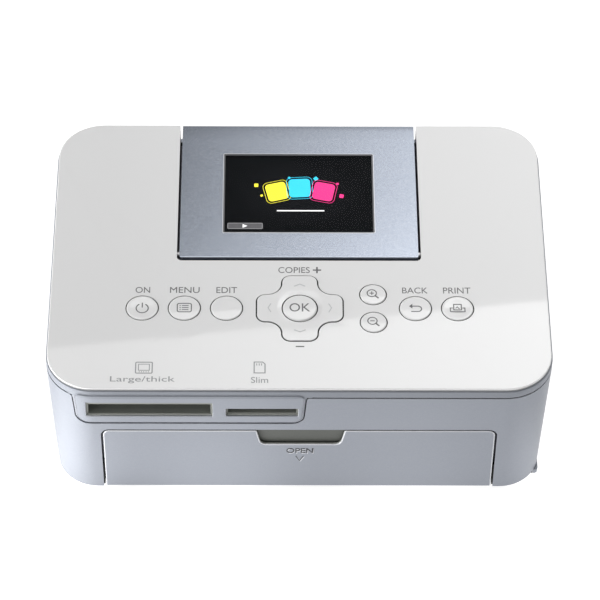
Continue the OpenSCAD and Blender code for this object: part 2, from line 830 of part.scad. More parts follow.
// Finger recess of the front door: steep sides and round bottom corners
module notch_outline() {
    z0 = door_top - notch_h;
    c0 = [notch_x0 + notch_slope + notch_r, z0 + notch_r];
    c1 = [notch_x1 - notch_slope - notch_r, z0 + notch_r];
    p0 = [notch_x0, door_top + 1];
    p1 = [notch_x1, door_top + 1];
    polygon([p0, touch(c0, notch_r, p0, 1), [c0[0], z0], [c1[0], z0], touch(c1, notch_r, p1, -1), p1]);
    translate(c0) circle(notch_r);
    translate(c1) circle(notch_r);
}

// Fixed wall behind the finger recess that the door's top clicks against
module door_catch() {
    color("dimgray") on_front()
        box(catch_x0, catch_x1, notch_t + part_gap, door_t + part_gap, door_top - catch_h, door_top + door_gap);
}

module side_door() {
    top = side_base + side_door_h;
    color("lightsteelblue") on_right() difference() {
        union() {
            box(-side_door_t, 0, side_y0, side_axis_y - 4, side_base, top);
            box(-side_door_t, 0, side_axis_y - 4 - eps, side_axis_y, side_ear_z, top);
            translate([side_axis_x, side_axis_y, side_ear_z])
                cylinder(h = top - side_ear_z, r = side_hinge_r);
            box(-side_door_t, 0, side_y0, side_y0 + lip_back, -lip_drop, side_base + eps);
            translate([0, 0, -lip_drop]) linear_extrude(lip_t)
                round_rect(-lip_w, 0, side_y0 - lip_out, side_y0 + lip_back, lip_r);
        }
        translate([side_axis_x, side_axis_y, 0]) cylinder(h = case_h, r = side_pin_r + run_fit);
    }
}

module side_door_pin() {
    color("silver") on_right() translate([side_axis_x, side_axis_y, side_pin_z0])
        cylinder(h = side_pin_z1 - side_pin_z0, r = side_pin_r);
}

module rear_cover() {
    z0 = floor_z + 0.5;
    z1 = cover_z1;
    color("lightsteelblue") difference() {
        union() {
            difference() {
                along_y(back_y - 1, rear_y) round_rect(-rear_half, rear_half, z0, z1, 5);
                along_y(back_y - 2, rear_y - wall)
                    round_rect(-rear_half + wall, rear_half - wall, z0 + wall, z1 - wall, 4);
                case_form(z0 - 2, z1 + 2, -part_gap / 3);
            }
        }
        box(-slot_half, slot_half, rear_y - wall - 1, rear_y + 1, paper_slot_z0, paper_slot_z1);
        for (i = [-10:10]) box(i * 4.6 - 0.9, i * 4.6 + 0.9, rear_y - wall - 1, rear_y + 1, vent_z0,
            vent_z1);
        translate([inlet_x, rear_y - wall - 1, inlet_z + inlet_h / 2]) rotate([-90, 0, 0])
            cylinder(h = 9, r = 3.4);
    }
}

// Side view of the screen unit: small round front edge, round about the hinge below, rear end curved down
module screen_profile() {
    r = (droop_len * droop_len + screen_droop * screen_droop) / (2 * screen_droop);
    y_bend = screen_y1 - droop_len;
    translate([hinge_y, hinge_z]) circle(screen_hinge_in);
    translate([screen_y0, hinge_z]) square([screen_hinge_in, screen_hinge_drop - screen_edge]);
    translate([screen_y0 + screen_edge, hinge_z]) square([screen_hinge_in, screen_hinge_drop]);
    translate([screen_y0 + screen_edge, case_h - screen_edge]) circle(screen_edge);
    translate([hinge_y, case_h - screen_t]) square([y_bend - hinge_y, screen_t]);
    intersection() {
        translate([y_bend - eps, case_h - screen_t]) square([droop_len + eps, screen_t]);
        translate([y_bend, case_h - r]) circle(r);
    }
}

module screen_form(z0, z1) {
    intersection() {
        along_x(-half_w, half_w) screen_profile();
        translate([0, 0, z0]) linear_extrude(z1 - z0)
            round_rect(-screen_w / 2, screen_w / 2, screen_y0, rear_y, screen_corner);
    }
}

module screen_bezel() {
    lcd_z = case_h - lens_sunk - lens_t - lcd_t;
    color("slategray") difference() {
        screen_form(split_z, case_h);
        box(-window_w / 2 - 0.1, window_w / 2 + 0.1, window_y0 - 0.1, window_y1 + 0.1, lcd_z, case_h + 1);
        box(-window_w / 2 - lcd_rim - 0.1, window_w / 2 + lcd_rim + 0.1, window_y0 - lcd_rim - 0.1,
            window_y1 + lcd_rim + 0.1, split_z - 1, lcd_z + lcd_t);
        bar_x([hinge_y, hinge_z], screen_pin_r + run_fit, -screen_w / 2 - 1, -screen_w / 2 + pin_in + 0.5);
        bar_x([hinge_y, hinge_z], screen_pin_r + run_fit, screen_w / 2 - pin_in - 0.5, screen_w / 2 + 1);
    }
}

module screen_back() {
    color("darkgray") screen_form(case_h - screen_t, split_z);
}

module screen_lens() {
    color([0.1, 0.1, 0.1, 0.5]) box(-window_w / 2, window_w / 2, window_y0, window_y1,
        case_h - lens_sunk - lens_t, case_h - lens_sunk);
}

module lcd_panel() {
    lcd_z = case_h - lens_sunk - lens_t - lcd_t;
    color("black") box(-window_w / 2 - lcd_rim, window_w / 2 + lcd_rim, window_y0 - lcd_rim,
        window_y1 + lcd_rim,
        split_z, lcd_z + lcd_t);
}

module screen_hinge_pins() {
    color("silver") both_x()
        bar_x([hinge_y, hinge_z], screen_pin_r, screen_w / 2 - pin_in, well_x + well_wall);
}

// A key cap with its flange under the plate and the plunger of its switch
module key_cap(d, proud, dish) {
    r = d / 2;
    top = case_h + proud;
    edge = 0.4;
    difference() {
        rotate_extrude() union() {
            translate([0, key_floor - flange_t]) square([r + flange_w, flange_t]);
            translate([0, key_floor - flange_t]) square([r, top - edge - key_floor + flange_t]);
            translate([0, top - edge - eps]) square([r - edge, edge + eps]);
            translate([r - edge, top - edge]) circle(edge);
            translate([0, plunger_z]) square([plunger_r, key_floor - flange_t - plunger_z + eps]);
        }
        if (dish > 0) translate([0, 0, top + dish_r(r - 1.2, dish) - dish]) sphere(dish_r(r - 1.2, dish));
    }
}

function dish_r(half, depth) = (half * half + depth * depth) / (2 * depth);

module on_button() {
    color("white") translate([left_key_x - key_pitch, key_y, 0]) key_cap(key_d, key_proud, 0.35);
}

module menu_button() {
    color("white") translate([left_key_x, key_y, 0]) key_cap(key_d, key_proud, 0);
}

module edit_button() {
    color("white") translate([left_key_x + key_pitch, key_y, 0]) key_cap(key_d, key_proud, 0);
}

module back_button() {
    color("white") translate([right_key_x - key_pitch / 2, key_y, 0]) key_cap(key_d, key_proud, 0);
}

module print_button() {
    color("white") translate([right_key_x + key_pitch / 2, key_y, 0]) key_cap(key_d, key_proud, 0.35);
}

module zoom_in_button() {
    color("white") translate([zoom_x, key_y + zoom_dy, 0]) key_cap(zoom_d, key_proud, 0);
}

module zoom_out_button() {
    color("white") translate([zoom_x, key_y - zoom_dy, 0]) key_cap(zoom_d, key_proud, 0);
}

module ok_button() {
    r = ok_d / 2;
    top = case_h + ok_proud;
    edge = 0.8;
    color("white") at_pad() rotate_extrude() union() {
        translate([0, ok_flange_z]) square([r, top - edge - ok_flange_z]);
        translate([0, ok_flange_z]) square([ok_flange_r, ok_flange_t]);
        translate([0, top - edge - eps]) square([r - edge, edge + eps]);
        translate([r - edge, top - edge]) circle(edge);
        translate([0, plunger_z]) square([plunger_r, ok_flange_z - plunger_z + eps]);
    }
}

module control_pad() {
    z0 = pad_floor - pad_flange_t;
    top = case_h + key_proud;
    hole = ok_d / 2 + 0.35;
    color("white") at_pad() difference() {
        union() {
            translate([0, 0, z0]) linear_extrude(top - z0) pad_outline(0);
            translate([0, 0, z0]) linear_extrude(pad_flange_t) pad_outline(flange_w);
            for (a = [0:90:270]) rotate(a) translate([pusher_x, 0, switch_top + 0.75])
                cylinder(h = z0 - switch_top - 0.75 + eps, r = pusher_r);
            for (s = [-1, 1]) translate([-2, s * (post_x + post_t / 2) - post_t / 2, ring_z - 0.4])
                cube([4, post_t, z0 - ring_z + 0.4 + eps]);
        }
        for (s = [-1, 1]) translate([s * (post_x + post_t / 2), 0, z0 - 1])
            translate([-post_t / 2 - 0.4, -2.5, 0]) cube([post_t + 0.8, 5, 1 + pad_relief]);
        translate([0, 0, z0 - 5]) cylinder(h = 20, r = hole);
        translate([0, 0, top - pad_dish]) cylinder(h = pad_dish + eps, r1 = hole, r2 = hole + 1.9);
        for (s = [-1, 1]) translate([0, s * (post_x + 3), ring_z + ring_h / 2]) rotate([90, 0, 0])
            cylinder(h = 6, r = ring_pin_r + run_fit, center = true);
    }
}

module pad_pivot_ring() {
    color("gainsboro") at_pad() {
        difference() {
            translate([0, 0, ring_z]) cylinder(h = ring_h, r = ring_r0 + ring_w);
            translate([0, 0, ring_z - 1]) cylinder(h = ring_h + 2, r = ring_r0);
        }
        for (a = [0:90:270]) rotate(a) translate([ring_r0 + ring_w / 2, 0, ring_z + ring_h / 2])
            rotate([0, 90, 0]) cylinder(h = ring_w / 2 + 0.4 + post_t, r = ring_pin_r);
    }
}

module pad_cradle() {
    color("gainsboro") at_pad() difference() {
        union() {
            difference() {
                translate([0, 0, switch_z]) cylinder(h = 0.8, r = post_x + post_t);
                translate([0, 0, switch_z - 1]) cylinder(h = 3, r = ring_r0 - 0.4);
            }
            for (s = [-1, 1]) translate([s * (post_x + post_t / 2) - post_t / 2, -2, switch_z])
                cube([post_t, 4, ring_z + ring_h + 0.2 - switch_z]);
        }
        rotate([0, 90, 0]) translate([-ring_z - ring_h / 2, 0, 0])
            cylinder(h = 40, r = ring_pin_r + run_fit, center = true);
    }
}

module key_board() {
    color("darkgreen") difference() {
        box(-key_board_x, key_board_x, key_board_y0, key_board_y1, key_board_z, switch_z);
        for (p = key_screws) translate([p[0], p[1], key_board_z - 1])
            cylinder(h = 4, r = small_screw_r + 0.2);
    }
}

// A switch body with the well that its plunger moves in
module key_switch(w) {
    difference() {
        translate([-w / 2, -w / 2, switch_z]) cube([w, w, switch_h]);
        translate([0, 0, switch_top - switch_hole]) cylinder(h = 3, r = plunger_r + 0.2);
    }
}

module key_switches() {
    color("dimgray") {
        at_keys() key_switch(switch_w);
        at_zoom_keys() key_switch(switch_w);
        at_pad() {
            key_switch(switch_w);
            for (a = [0:90:270]) rotate(a) translate([pusher_x, 0, 0])
                translate([-small_switch_w / 2, -small_switch_w / 2, switch_z])
                    cube([small_switch_w, small_switch_w, switch_h]);
        }
    }
}

module card_board() {
    y1 = socket_y + cf_depth;
    color("darkgreen") difference() {
        union() {
            box(-core_x - 0.5, panel_x1, socket_y, y1, card_board_z, usb_z);
            box(-face_x(usb_z) + wall + part_gap, -core_x, usb_y - 4.4, y1, card_board_z, usb_z);
        }
        for (p = card_screws) translate([p[0], p[1], card_board_z - 1]) cylinder(h = 4, r = small_screw_r + 0.2);
    }
}

// An open-fronted card socket whose mouth fills the slot in the front panel
module card_socket(slot_x0, slot_w, slot_z, slot_h, w, z0, h, depth) {
    x0 = slot_x0 + (slot_w - w) / 2;
    y1 = socket_y + depth;
    mouth_y = face_y(slot_z0) + mouth_in;
    difference() {
        union() {
            box(x0 - socket_wall, x0 + w + socket_wall, socket_y, y1, usb_z, z0 + h + 0.9);
            box(slot_x0 + slot_fit, slot_x0 + slot_w - slot_fit, mouth_y, socket_y + eps,
                slot_z + slot_fit, slot_z + slot_h - slot_fit);
        }
        box(x0, x0 + w, mouth_y - 1, y1 - 3, z0, z0 + h);
    }
}

module large_card_socket() {
    color("black") card_socket(cf_x0, cf_w, slot_z0, cf_h, cf_card_w, slot_z0 + 0.5, cf_card_h, cf_depth - 6.5);
}

module small_card_socket() {
    color("black") card_socket(sd_x0, sd_w, sd_z0, sd_h, sd_card_w, sd_z0 + 0.8, sd_card_h, sd_depth - 1.5);
}

// Main board
board_half = plate_x - 4;
board_posts = [for (s = [-1, 1], y = [-20, 24]) [s * (board_half - 4), platen_y + y]];
board_y0 = platen_y - 24;
board_y1 = platen_y + 28;

module main_board() {
    color("darkgreen") difference() {
        union() {
            box(-board_half, inlet_x + 6, board_y0, board_y1, board_z, board_z + main_board_t);
            box(inlet_x - 5.6, inlet_x + 5.6, board_y1 - 1, back_y - 2 * wall - part_gap, board_z,
                board_z + main_board_t);
        }
        for (p = board_posts) translate([p[0], p[1], board_z - 1]) cylinder(h = 4, r = small_screw_r + 0.2);
    }
}

module board_chips() {
    z = board_z + main_board_t;
    color("black") {
        box(-20, 0, platen_y - 18, platen_y + 2, z, z + 1.6);
        box(8, 20, platen_y - 14, platen_y - 4, z, z + 1.2);
        box(-40, -30, platen_y + 6, platen_y + 20, z, z + 1.2);
        for (x = [28:7:42]) translate([x, platen_y + 16, z]) cylinder(h = 3, r = 2.4);
    }
}

module dc_inlet() {
    y0 = rear_y - wall - 13;
    zc = inlet_z + inlet_h / 2;
    color("black") difference() {
        union() {
            box(inlet_x - inlet_w / 2, inlet_x + inlet_w / 2, y0, rear_y - wall, inlet_z,
                inlet_z + inlet_h);
            translate([inlet_x, rear_y - wall - eps, zc]) rotate([-90, 0, 0])
                cylinder(h = wall - 0.2, r = 3.3);
        }
        difference() {
            translate([inlet_x, y0 + 3, zc]) rotate([-90, 0, 0]) cylinder(h = 20, r = 2.8);
            translate([inlet_x, y0, zc]) rotate([-90, 0, 0]) cylinder(h = 11.5, r = 0.65);
        }
    }
}

module usb_socket() {
    x0 = -face_x(usb_z) + 0.2;
    z1 = usb_z + usb_h;
    color("silver") difference() {
        box(x0, x0 + usb_len, usb_y - usb_w / 2, usb_y + usb_w / 2, usb_z, z1);
        difference() {
            box(x0 - 1, x0 + usb_len - 2, usb_y - usb_w / 2 + 0.5, usb_y + usb_w / 2 - 0.5, usb_z + 0.5,
                z1 - 0.5);
            box(x0 + 0.6, x0 + usb_len, usb_y - 2.6, usb_y + 2.6, usb_z + 1.7, z1 - 1.7);
        }
    }
}

module bay_floor() {
    y0 = front_y + 10;
    y1 = engine_y0 + 17;
    color("gray") {
        box(-bay_half, bay_half, y0, y1, bay_z, bay_z + bay_t);
        both_x() {
            box(bay_half - 2, bay_half, y0, y1, floor_z, bay_z + bay_t + 4);
        }
        for (x = [-28, 0, 28]) box(x - 0.8, x + 0.8, y0, y1, floor_z, bay_z + eps);
    }
}

// Lower guides that the paper slides on, between the side plates
module paper_guides() {
    color("gray") {
        box(-plate_x, plate_x, pickup_c[0] + pickup_r + 1, platen_y - platen_r - 1, paper_z - 2.2,
            paper_z - 1);
        box(-plate_x, plate_x, platen_y + platen_r + 1, capstan_y - capstan_r - 1, paper_z - 2.2,
            paper_z - 1);
    }
}

// The shafts' holes in the side plates
module shaft_holes(x0, x1) {
    for (c = [platen_c, capstan_c, takeup_c, supply_c, pickup_c]) bar_x(c, shaft_r + run_fit, x0, x1);
    bar_x([capstan_y, pinch_z], head_pin_r + run_fit, x0, x1);
    bar_x(head_pivot, head_pin_r, x0, x1);
}

// One side plate with its two feet, on the right side of the middle
module side_plate() {
    y1 = engine_y1 - leg_w;
    difference() {
        union() {
            along_x(plate_x, plate_x + sheet_t) {
                translate([engine_y0, engine_z0]) square([engine_y1 - engine_y0, engine_z1 - engine_z0]);
                for (y = [engine_y0, y1]) translate([y, floor_z])
                    square([leg_w, engine_z0 - floor_z + eps]);
            }
            box(plate_x, plate_x + tab_l, engine_y0, engine_y0 + leg_w, floor_z, floor_z + sheet_t);
            box(plate_x + sheet_t - tab_l, plate_x + sheet_t, y1, engine_y1, floor_z, floor_z + sheet_t);
        }
        for (p = chassis_screws) translate([p[0], p[1], floor_z - 1])
            cylinder(h = 4, r = small_screw_r + 0.2);
    }
}
chassis_screws = [for (s = [-1, 1], p = [[plate_x + tab_l - 3.6, engine_y0 + leg_w / 2],
    [plate_x + sheet_t - tab_l + 3.6, engine_y1 - leg_w / 2]]) [s * p[0], p[1]]];

module chassis_left() {
    color("silver") difference() {
        union() {
            mirror([1, 0, 0]) side_plate();
            bar_x(idler_c, shaft_r, gear_x - gear_w - 0.5, -plate_x);
        }
        shaft_holes(-plate_x - 4, -plate_x + 1);
    }
}

module chassis_right() {
    color("silver") difference() {
        side_plate();
        shaft_holes(plate_x - 1, plate_x + 4);
        along_x(plate_x - 1, plate_x + 4) {
            translate([takeup_c[0] - 10.5, ribbon_z0 - 0.6])
                square([supply_c[0] - takeup_c[0] + 20.5, ribbon_z1 - ribbon_z0 + 1.2]);
        }
    }
}

// Outer plate that carries the motor and the gears' outer ends
module gear_plate() {
    y0 = engine_y0 + 1;
    color("silver") difference() {
        union() {
            along_x(outer_x - sheet_t, outer_x)
                translate([y0, engine_z0]) square([engine_y1 - y0, engine_z1 - engine_z0 - 1]);
            for (c = gear_plate_pillars) bar_x(c, 2.4, outer_x - eps, -plate_x - sheet_t);
        }
        for (c = [platen_c, capstan_c, takeup_c, pickup_c])
            bar_x(c, shaft_r + run_fit, outer_x - 3, outer_x + 1);
        bar_x(pinion_c, pinion_hub, outer_x - 3, outer_x + 1);
    }
}
pinion_hub = 1.6;
gear_plate_pillars = [[engine_y0 + 5, engine_z0 + 7], [back_y - 9.5, engine_z1 - 6.5],
    [platen_y + 9, engine_z1 - 4]];

// A straight drive shaft from the outer plate to past the right side plate
module drive_shaft(c, r, x1) {
    bar_x(c, r, outer_x - sheet_t - 0.3, x1);
}

module platen_roller() {
    color("dimgray") difference() {
        bar_x(platen_c, platen_r, -roller_half, roller_half);
        bar_x(platen_c, shaft_r, -roller_half - 1, roller_half + 1);
    }
}

module platen_shaft() {
    color("silver") drive_shaft(platen_c, shaft_r, plate_x + sheet_t + 1);
}

module platen_gear() {
    color("ivory") gear(platen_n, platen_c, platen_turn, gear_x - gear_w, gear_x, shaft_r);
}

module capstan_roller() {
    color("silver") {
        drive_shaft(capstan_c, shaft_r, plate_x + sheet_t + 1);
        bar_x(capstan_c, capstan_r, -roller_half, roller_half);
    }
}

module capstan_gear() {
    color("ivory") gear(capstan_n, capstan_c, capstan_turn, gear_x - gear_w, gear_x, shaft_r);
}

module pinch_roller() {
    c = [capstan_y, pinch_z];
    color("dimgray") difference() {
        bar_x(c, pinch_r, -roller_half, roller_half);
        bar_x(c, head_pin_r, -roller_half - 1, roller_half + 1);
    }
}

module pinch_shaft() {
    color("silver") bar_x([capstan_y, pinch_z], head_pin_r, -plate_x - sheet_t - 0.5,
        plate_x + sheet_t + 0.5);
}

module pickup_rollers() {
    color("dimgray") for (x = [-14, 14]) difference() {
        bar_x(pickup_c, pickup_r, x - 6, x + 6);
        bar_x(pickup_c, shaft_r, x - 7, x + 7);
    }
}

module pickup_shaft() {
    color("silver") drive_shaft(pickup_c, shaft_r, plate_x + sheet_t + 1);
}

module pickup_gear() {
    color("ivory") gear(pickup_n, pickup_c, pickup_turn, gear_x - gear_w, gear_x, shaft_r);
}

// The splined end that turns a ribbon spool
module spool_dog(c) {
    bar_x(c, 3.4, -plate_x + 0.4, -plate_x + 7);
    for (a = [0:60:300]) along_x(-plate_x + 0.4, -plate_x + 6.4) translate(c) rotate(a)
        translate([2.8, -0.6]) square([1.7, 1.2]);
}

module takeup_spindle() {
    color("ivory") {
        spool_dog(takeup_c);
        drive_shaft(takeup_c, shaft_r, -plate_x + 1);
        gear(takeup_n, takeup_c, takeup_turn, gear_x - gear_w, gear_x, shaft_r - 0.5);
    }
}

module supply_spindle() {
    color("ivory") {
        spool_dog(supply_c);
        bar_x(supply_c, shaft_r, -plate_x - sheet_t - 1.3, -plate_x + 1);
        bar_x(supply_c, 3, -plate_x - sheet_t - 1.3, -plate_x - sheet_t - 0.3);
    }
}

module idler_gear() {
    color("ivory") gear(idler_n, idler_c, idler_turn, gear_x - gear_w, gear_x, shaft_r + run_fit);
}

module feed_motor() {
    color("silver") difference() {
        bar_x(pinion_c, motor_r, outer_x - sheet_t - motor_len, outer_x - sheet_t);
        bar_x(pinion_c, pinion_hub, outer_x - sheet_t - 8, outer_x);
    }
}

module motor_pinion() {
    color("goldenrod") {
        gear(pinion_n, pinion_c, pinion_turn, gear_x - gear_w, gear_x, 0.9);
        bar_x(pinion_c, 1, outer_x - sheet_t - 7.5, gear_x - 0.5);
    }
}

module head_arm() {
    z = head_pivot[1];
    y0 = platen_y - head_w / 2;
    y1 = platen_y + head_w / 2;
    color("silver") difference() {
        union() {
            both_x() along_x(head_arm_x, head_arm_x + head_arm_t)
                polygon([[head_pivot[0] - 3, z - 1.9], [head_pivot[0] - 3, z + 1.9], [y1, z + 1.9],
                    [y1, paper_z + 8],
                    [y0, paper_z + 8], [y0, z - 1.9]]);
            box(-head_arm_x - head_arm_t, head_arm_x + head_arm_t, y0, y1, head_top - 1.4, head_top);
        }
        bar_x(head_pivot, head_pin_r + run_fit, -half_w, half_w);
    }
}

module thermal_head() {
    y0 = platen_y - head_w / 2;
    y1 = platen_y + head_w / 2;
    zt = head_top - 1.4;
    color("gray") {
        difference() {
            box(-head_half, head_half, y0, y1, head_z0 + 2, zt);
            for (s = [-1, 1]) box(-head_half + 4, head_half - 4, platen_y + s * 2.4 - 0.8,
                platen_y + s * 2.4 + 0.8,
                head_z0 + 6, zt + 1);
        }
        box(-head_half, head_half, platen_y - 2.5, platen_y + 2.5, head_z0, head_z0 + 2 + eps);
    }
}

module head_shaft() {
    color("silver") bar_x(head_pivot, head_pin_r, -plate_x - sheet_t, plate_x + sheet_t);
}

// A small screw standing on its head: shank up or down from z
module small_screw(p, z, up, len) {
    translate([p[0], p[1], z]) mirror([0, 0, up ? 0 : 1]) {
        translate([0, 0, -small_head_h]) cylinder(h = small_head_h, r = small_head_r);
        translate([0, 0, -eps]) cylinder(h = len, r = small_screw_r);
    }
}

module small_screws() {
    color("silver") {
        for (p = key_screws) small_screw(p, key_board_z, true, board_t + 2.6);
        for (p = card_screws) small_screw(p, card_board_z + card_board_t, false, card_board_t + 2.6);
        for (p = board_posts) small_screw(p, board_z + main_board_t, false, main_board_t + 2);
        for (p = chassis_screws) small_screw(p, floor_z + sheet_t, false, sheet_t + 1.2);
    }
}

top_plate();
upper_frame();
main_case();
base_tray();
rear_cover();
feet();
case_screws();
small_screws();
front_door();
door_catch();
side_door();
side_door_pin();
screen_bezel();
screen_back();
screen_lens();
lcd_panel();
screen_hinge_pins();
on_button();
menu_button();
edit_button();
ok_button();
zoom_in_button();
zoom_out_button();
back_button();
print_button();
control_pad();
pad_pivot_ring();
pad_cradle();
key_board();
key_switches();
card_board();
large_card_socket();
small_card_socket();
main_board();
board_chips();
dc_inlet();
usb_socket();
bay_floor();
paper_guides();
chassis_left();
chassis_right();
gear_plate();
platen_roller();
platen_shaft();
platen_gear();
capstan_roller();
capstan_gear();
pinch_roller();
pinch_shaft();
pickup_rollers();
pickup_shaft();
pickup_gear();
takeup_spindle();
supply_spindle();
idler_gear();
feed_motor();
motor_pinion();
head_arm();
thermal_head();
head_shaft();
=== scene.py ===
import json
import math

import bmesh
import bpy
from mathutils import Matrix, Vector


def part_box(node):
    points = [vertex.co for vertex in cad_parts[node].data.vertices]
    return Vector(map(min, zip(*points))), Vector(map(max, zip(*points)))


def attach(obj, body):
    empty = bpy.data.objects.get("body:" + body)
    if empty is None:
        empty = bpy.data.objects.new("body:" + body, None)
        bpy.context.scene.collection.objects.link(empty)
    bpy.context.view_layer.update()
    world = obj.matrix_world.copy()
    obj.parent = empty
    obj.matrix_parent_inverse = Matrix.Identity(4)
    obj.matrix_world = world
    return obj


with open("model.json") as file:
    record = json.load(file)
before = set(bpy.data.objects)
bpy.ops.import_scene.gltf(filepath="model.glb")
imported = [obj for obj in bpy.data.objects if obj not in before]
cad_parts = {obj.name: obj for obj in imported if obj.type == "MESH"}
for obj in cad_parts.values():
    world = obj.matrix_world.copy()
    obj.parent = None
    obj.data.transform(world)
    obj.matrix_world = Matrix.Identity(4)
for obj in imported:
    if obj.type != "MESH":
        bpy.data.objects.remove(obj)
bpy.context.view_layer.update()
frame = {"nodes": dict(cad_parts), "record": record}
nodes = frame["nodes"]
scene = bpy.context.scene
mm = 0.001
print("frame loaded:", len(nodes), "nodes")


# Shader maths.

class Field:  # a socket of a shader that takes part in sums
    def __init__(self, finish, socket):
        self.finish = finish
        self.socket = socket

    def sum(self, operation, *values):
        return self.finish.node("ShaderNodeMath", {"operation": operation}, *values)

    def __add__(self, other):
        return self.sum("ADD", self, other)

    __radd__ = __add__

    def __sub__(self, other):
        return self.sum("SUBTRACT", self, other)

    def __rsub__(self, other):
        return self.sum("SUBTRACT", other, self)

    def __mul__(self, other):
        return self.sum("MULTIPLY", self, other)

    __rmul__ = __mul__

    def __truediv__(self, other):
        return self.sum("DIVIDE", self, other)

    def __pow__(self, other):
        return self.sum("POWER", self, other)

    def __gt__(self, other):
        return self.sum("GREATER_THAN", self, other)

    def __lt__(self, other):
        return self.sum("LESS_THAN", self, other)

    def __abs__(self):
        return self.sum("ABSOLUTE", self)

    def floored(self):
        return self.sum("MAXIMUM", self, 0.0)

    def clamp(self):
        return self.sum("MINIMUM", self.floored(), 1.0)


class Finish:  # one material and the nodes behind it
    def __init__(self, name, **fixed):
        self.material = bpy.data.materials.new(name)
        self.material.use_nodes = True
        self.tree = self.material.node_tree
        self.shader = self.tree.nodes["Principled BSDF"]
        for socket, value in fixed.items():
            self.set(socket, value)

    def set(self, socket, value):
        target = self.shader.inputs[socket.replace("_", " ")]
        if isinstance(value, Field):
            self.tree.links.new(value.socket, target)
        elif hasattr(target.default_value, "__len__") and len(value) == 3:
            target.default_value = (*value, 1.0)
        else:
            target.default_value = value

    def node(self, kind, settings, *inputs, out=0, **named):
        made = self.tree.nodes.new(kind)
        for key, value in settings.items():
            setattr(made, key, value)
        for key, value in [*enumerate(inputs), *named.items()]:
            target = made.inputs[key.replace("_", " ") if isinstance(key, str) else key]
            if isinstance(value, Field):
                self.tree.links.new(value.socket, target)
            elif hasattr(target.default_value, "__len__") and len(target.default_value) == 4:
                target.default_value = (*value, 1.0)
            else:
                target.default_value = value
        return Field(self, made.outputs[out])

    def place(self):  # the frame's own coordinates, in metres
        return self.node("ShaderNodeTexCoord", {}, out="Object")

    def axes(self):
        split = self.node("ShaderNodeSeparateXYZ", {}, self.place())
        return [Field(self, split.socket.node.outputs[i]) for i in range(3)]

    def noise(self, scale, detail=2.0, roughness=0.5, stretch=(1.0, 1.0, 1.0)):
        spot = self.node("ShaderNodeVectorMath", {"operation": "MULTIPLY"}, self.place(), stretch)
        return self.node("ShaderNodeTexNoise", {}, Vector=spot, Scale=scale, Detail=detail, Roughness=roughness)

    def specks(self, scale):
        return self.node("ShaderNodeTexVoronoi", {}, Vector=self.place(), Scale=scale)

    def blendOf(self, factor, first, second):
        mixed = self.node("ShaderNodeMix", {"data_type": "RGBA"}, out=2)
        made = mixed.socket.node
        for index, value in ((0, factor), (6, first), (7, second)):
            if isinstance(value, Field):
                self.tree.links.new(value.socket, made.inputs[index])
            elif index:
                made.inputs[index].default_value = (*value, 1.0)
            else:
                made.inputs[index].default_value = value
        return mixed

    def bump(self, height, depth, strength=1.0):
        self.set("Normal", self.node("ShaderNodeBump", {}, Height=height, Distance=depth, Strength=strength))
        return self


def scaled(colour, share):
    return tuple(c * share for c in colour)


# Places on the casing that the finishes know, in millimetres.

casing = {
    "coreX": 72.4, "coreY": (-3.0, 47.5), "radius": 17.0, "top": 60.5, "bottom": 3.7, "lean": 2.2,
    "seam": 55.65, "deck": 59.0, "leftCorner": -70.0, "notchFoot": 39.0,
}
casingSlope = casing["lean"] / (casing["top"] - casing["bottom"])
slotSpace = {"x": (-75.2, 0.6), "y": (-69.0, -60.0), "z": (45.3, 53.3)}
notchSpace = {"x": (-24.0, 24.0), "y": (-70.0, -60.0), "z": (28.0, 36.5)}


def casingDepth(finish):  # how far a point lies inside the casing's leaning outer face, in millimetres
    look = casing
    x, y, z = [field / mm for field in finish.axes()]
    middle, reach = look["coreY"]
    side = (abs(x) - look["coreX"]).floored()
    end = (abs(y - middle) - reach).floored()
    return (z - look["top"]) * casingSlope + look["radius"] - (side * side + end * end) ** 0.5


def insideOf(finish, space):
    held = 1.0
    for axis, field in zip("xyz", finish.axes()):
        low, high = space[axis]
        held = held * (field > low * mm) * (field < high * mm)
    return held


# Finishes.

# gap and edge are painted shade on the walls inside the gaps: grey within edgeDepth of the casing's outer face,
# near-black further in
glossWhite = {
    "colour": (0.84, 0.84, 0.84), "shade": (0.83, 0.83, 0.83), "cloud": 14.0, "gap": (0.035, 0.037, 0.033),
    "edge": (0.34, 0.345, 0.35), "edgeDepth": 1.2, "coat": 0.6, "coatRoughness": 0.03, "roughness": 0.025,
    "spread": 0.02, "grain": 220.0, "gapRoughness": 0.4, "ripple": 0.0006, "rippleScale": 420.0, "rippleStrength": 0.25,
}


def makeGlossWhite(name, lowEdge):  # the walls under lowEdge, in millimetres, are painted dark as painted shade inside the gaps
    look = glossWhite
    finish = Finish(name, Specular_IOR_Level=0.5, Coat_Roughness=look["coatRoughness"])
    cloud = finish.noise(look["cloud"], 3.0)
    x, y, z = finish.axes()
    inGap = z < lowEdge * mm
    white = finish.blendOf(cloud, look["colour"], look["shade"])
    # painted shade on the gap walls
    gapWallShade = finish.blendOf(casingDepth(finish) > look["edgeDepth"], look["edge"], look["gap"])
    finish.set("Base_Color", finish.blendOf(inGap, white, gapWallShade))
    finish.set("Coat_Weight", (1.0 - inGap) * look["coat"])
    grain = finish.noise(look["grain"], 2.0)
    finish.set("Roughness", grain * look["spread"] + look["roughness"] + inGap * look["gapRoughness"])
    return finish.bump(finish.noise(look["rippleScale"], 1.5), look["ripple"] * mm, look["rippleStrength"])


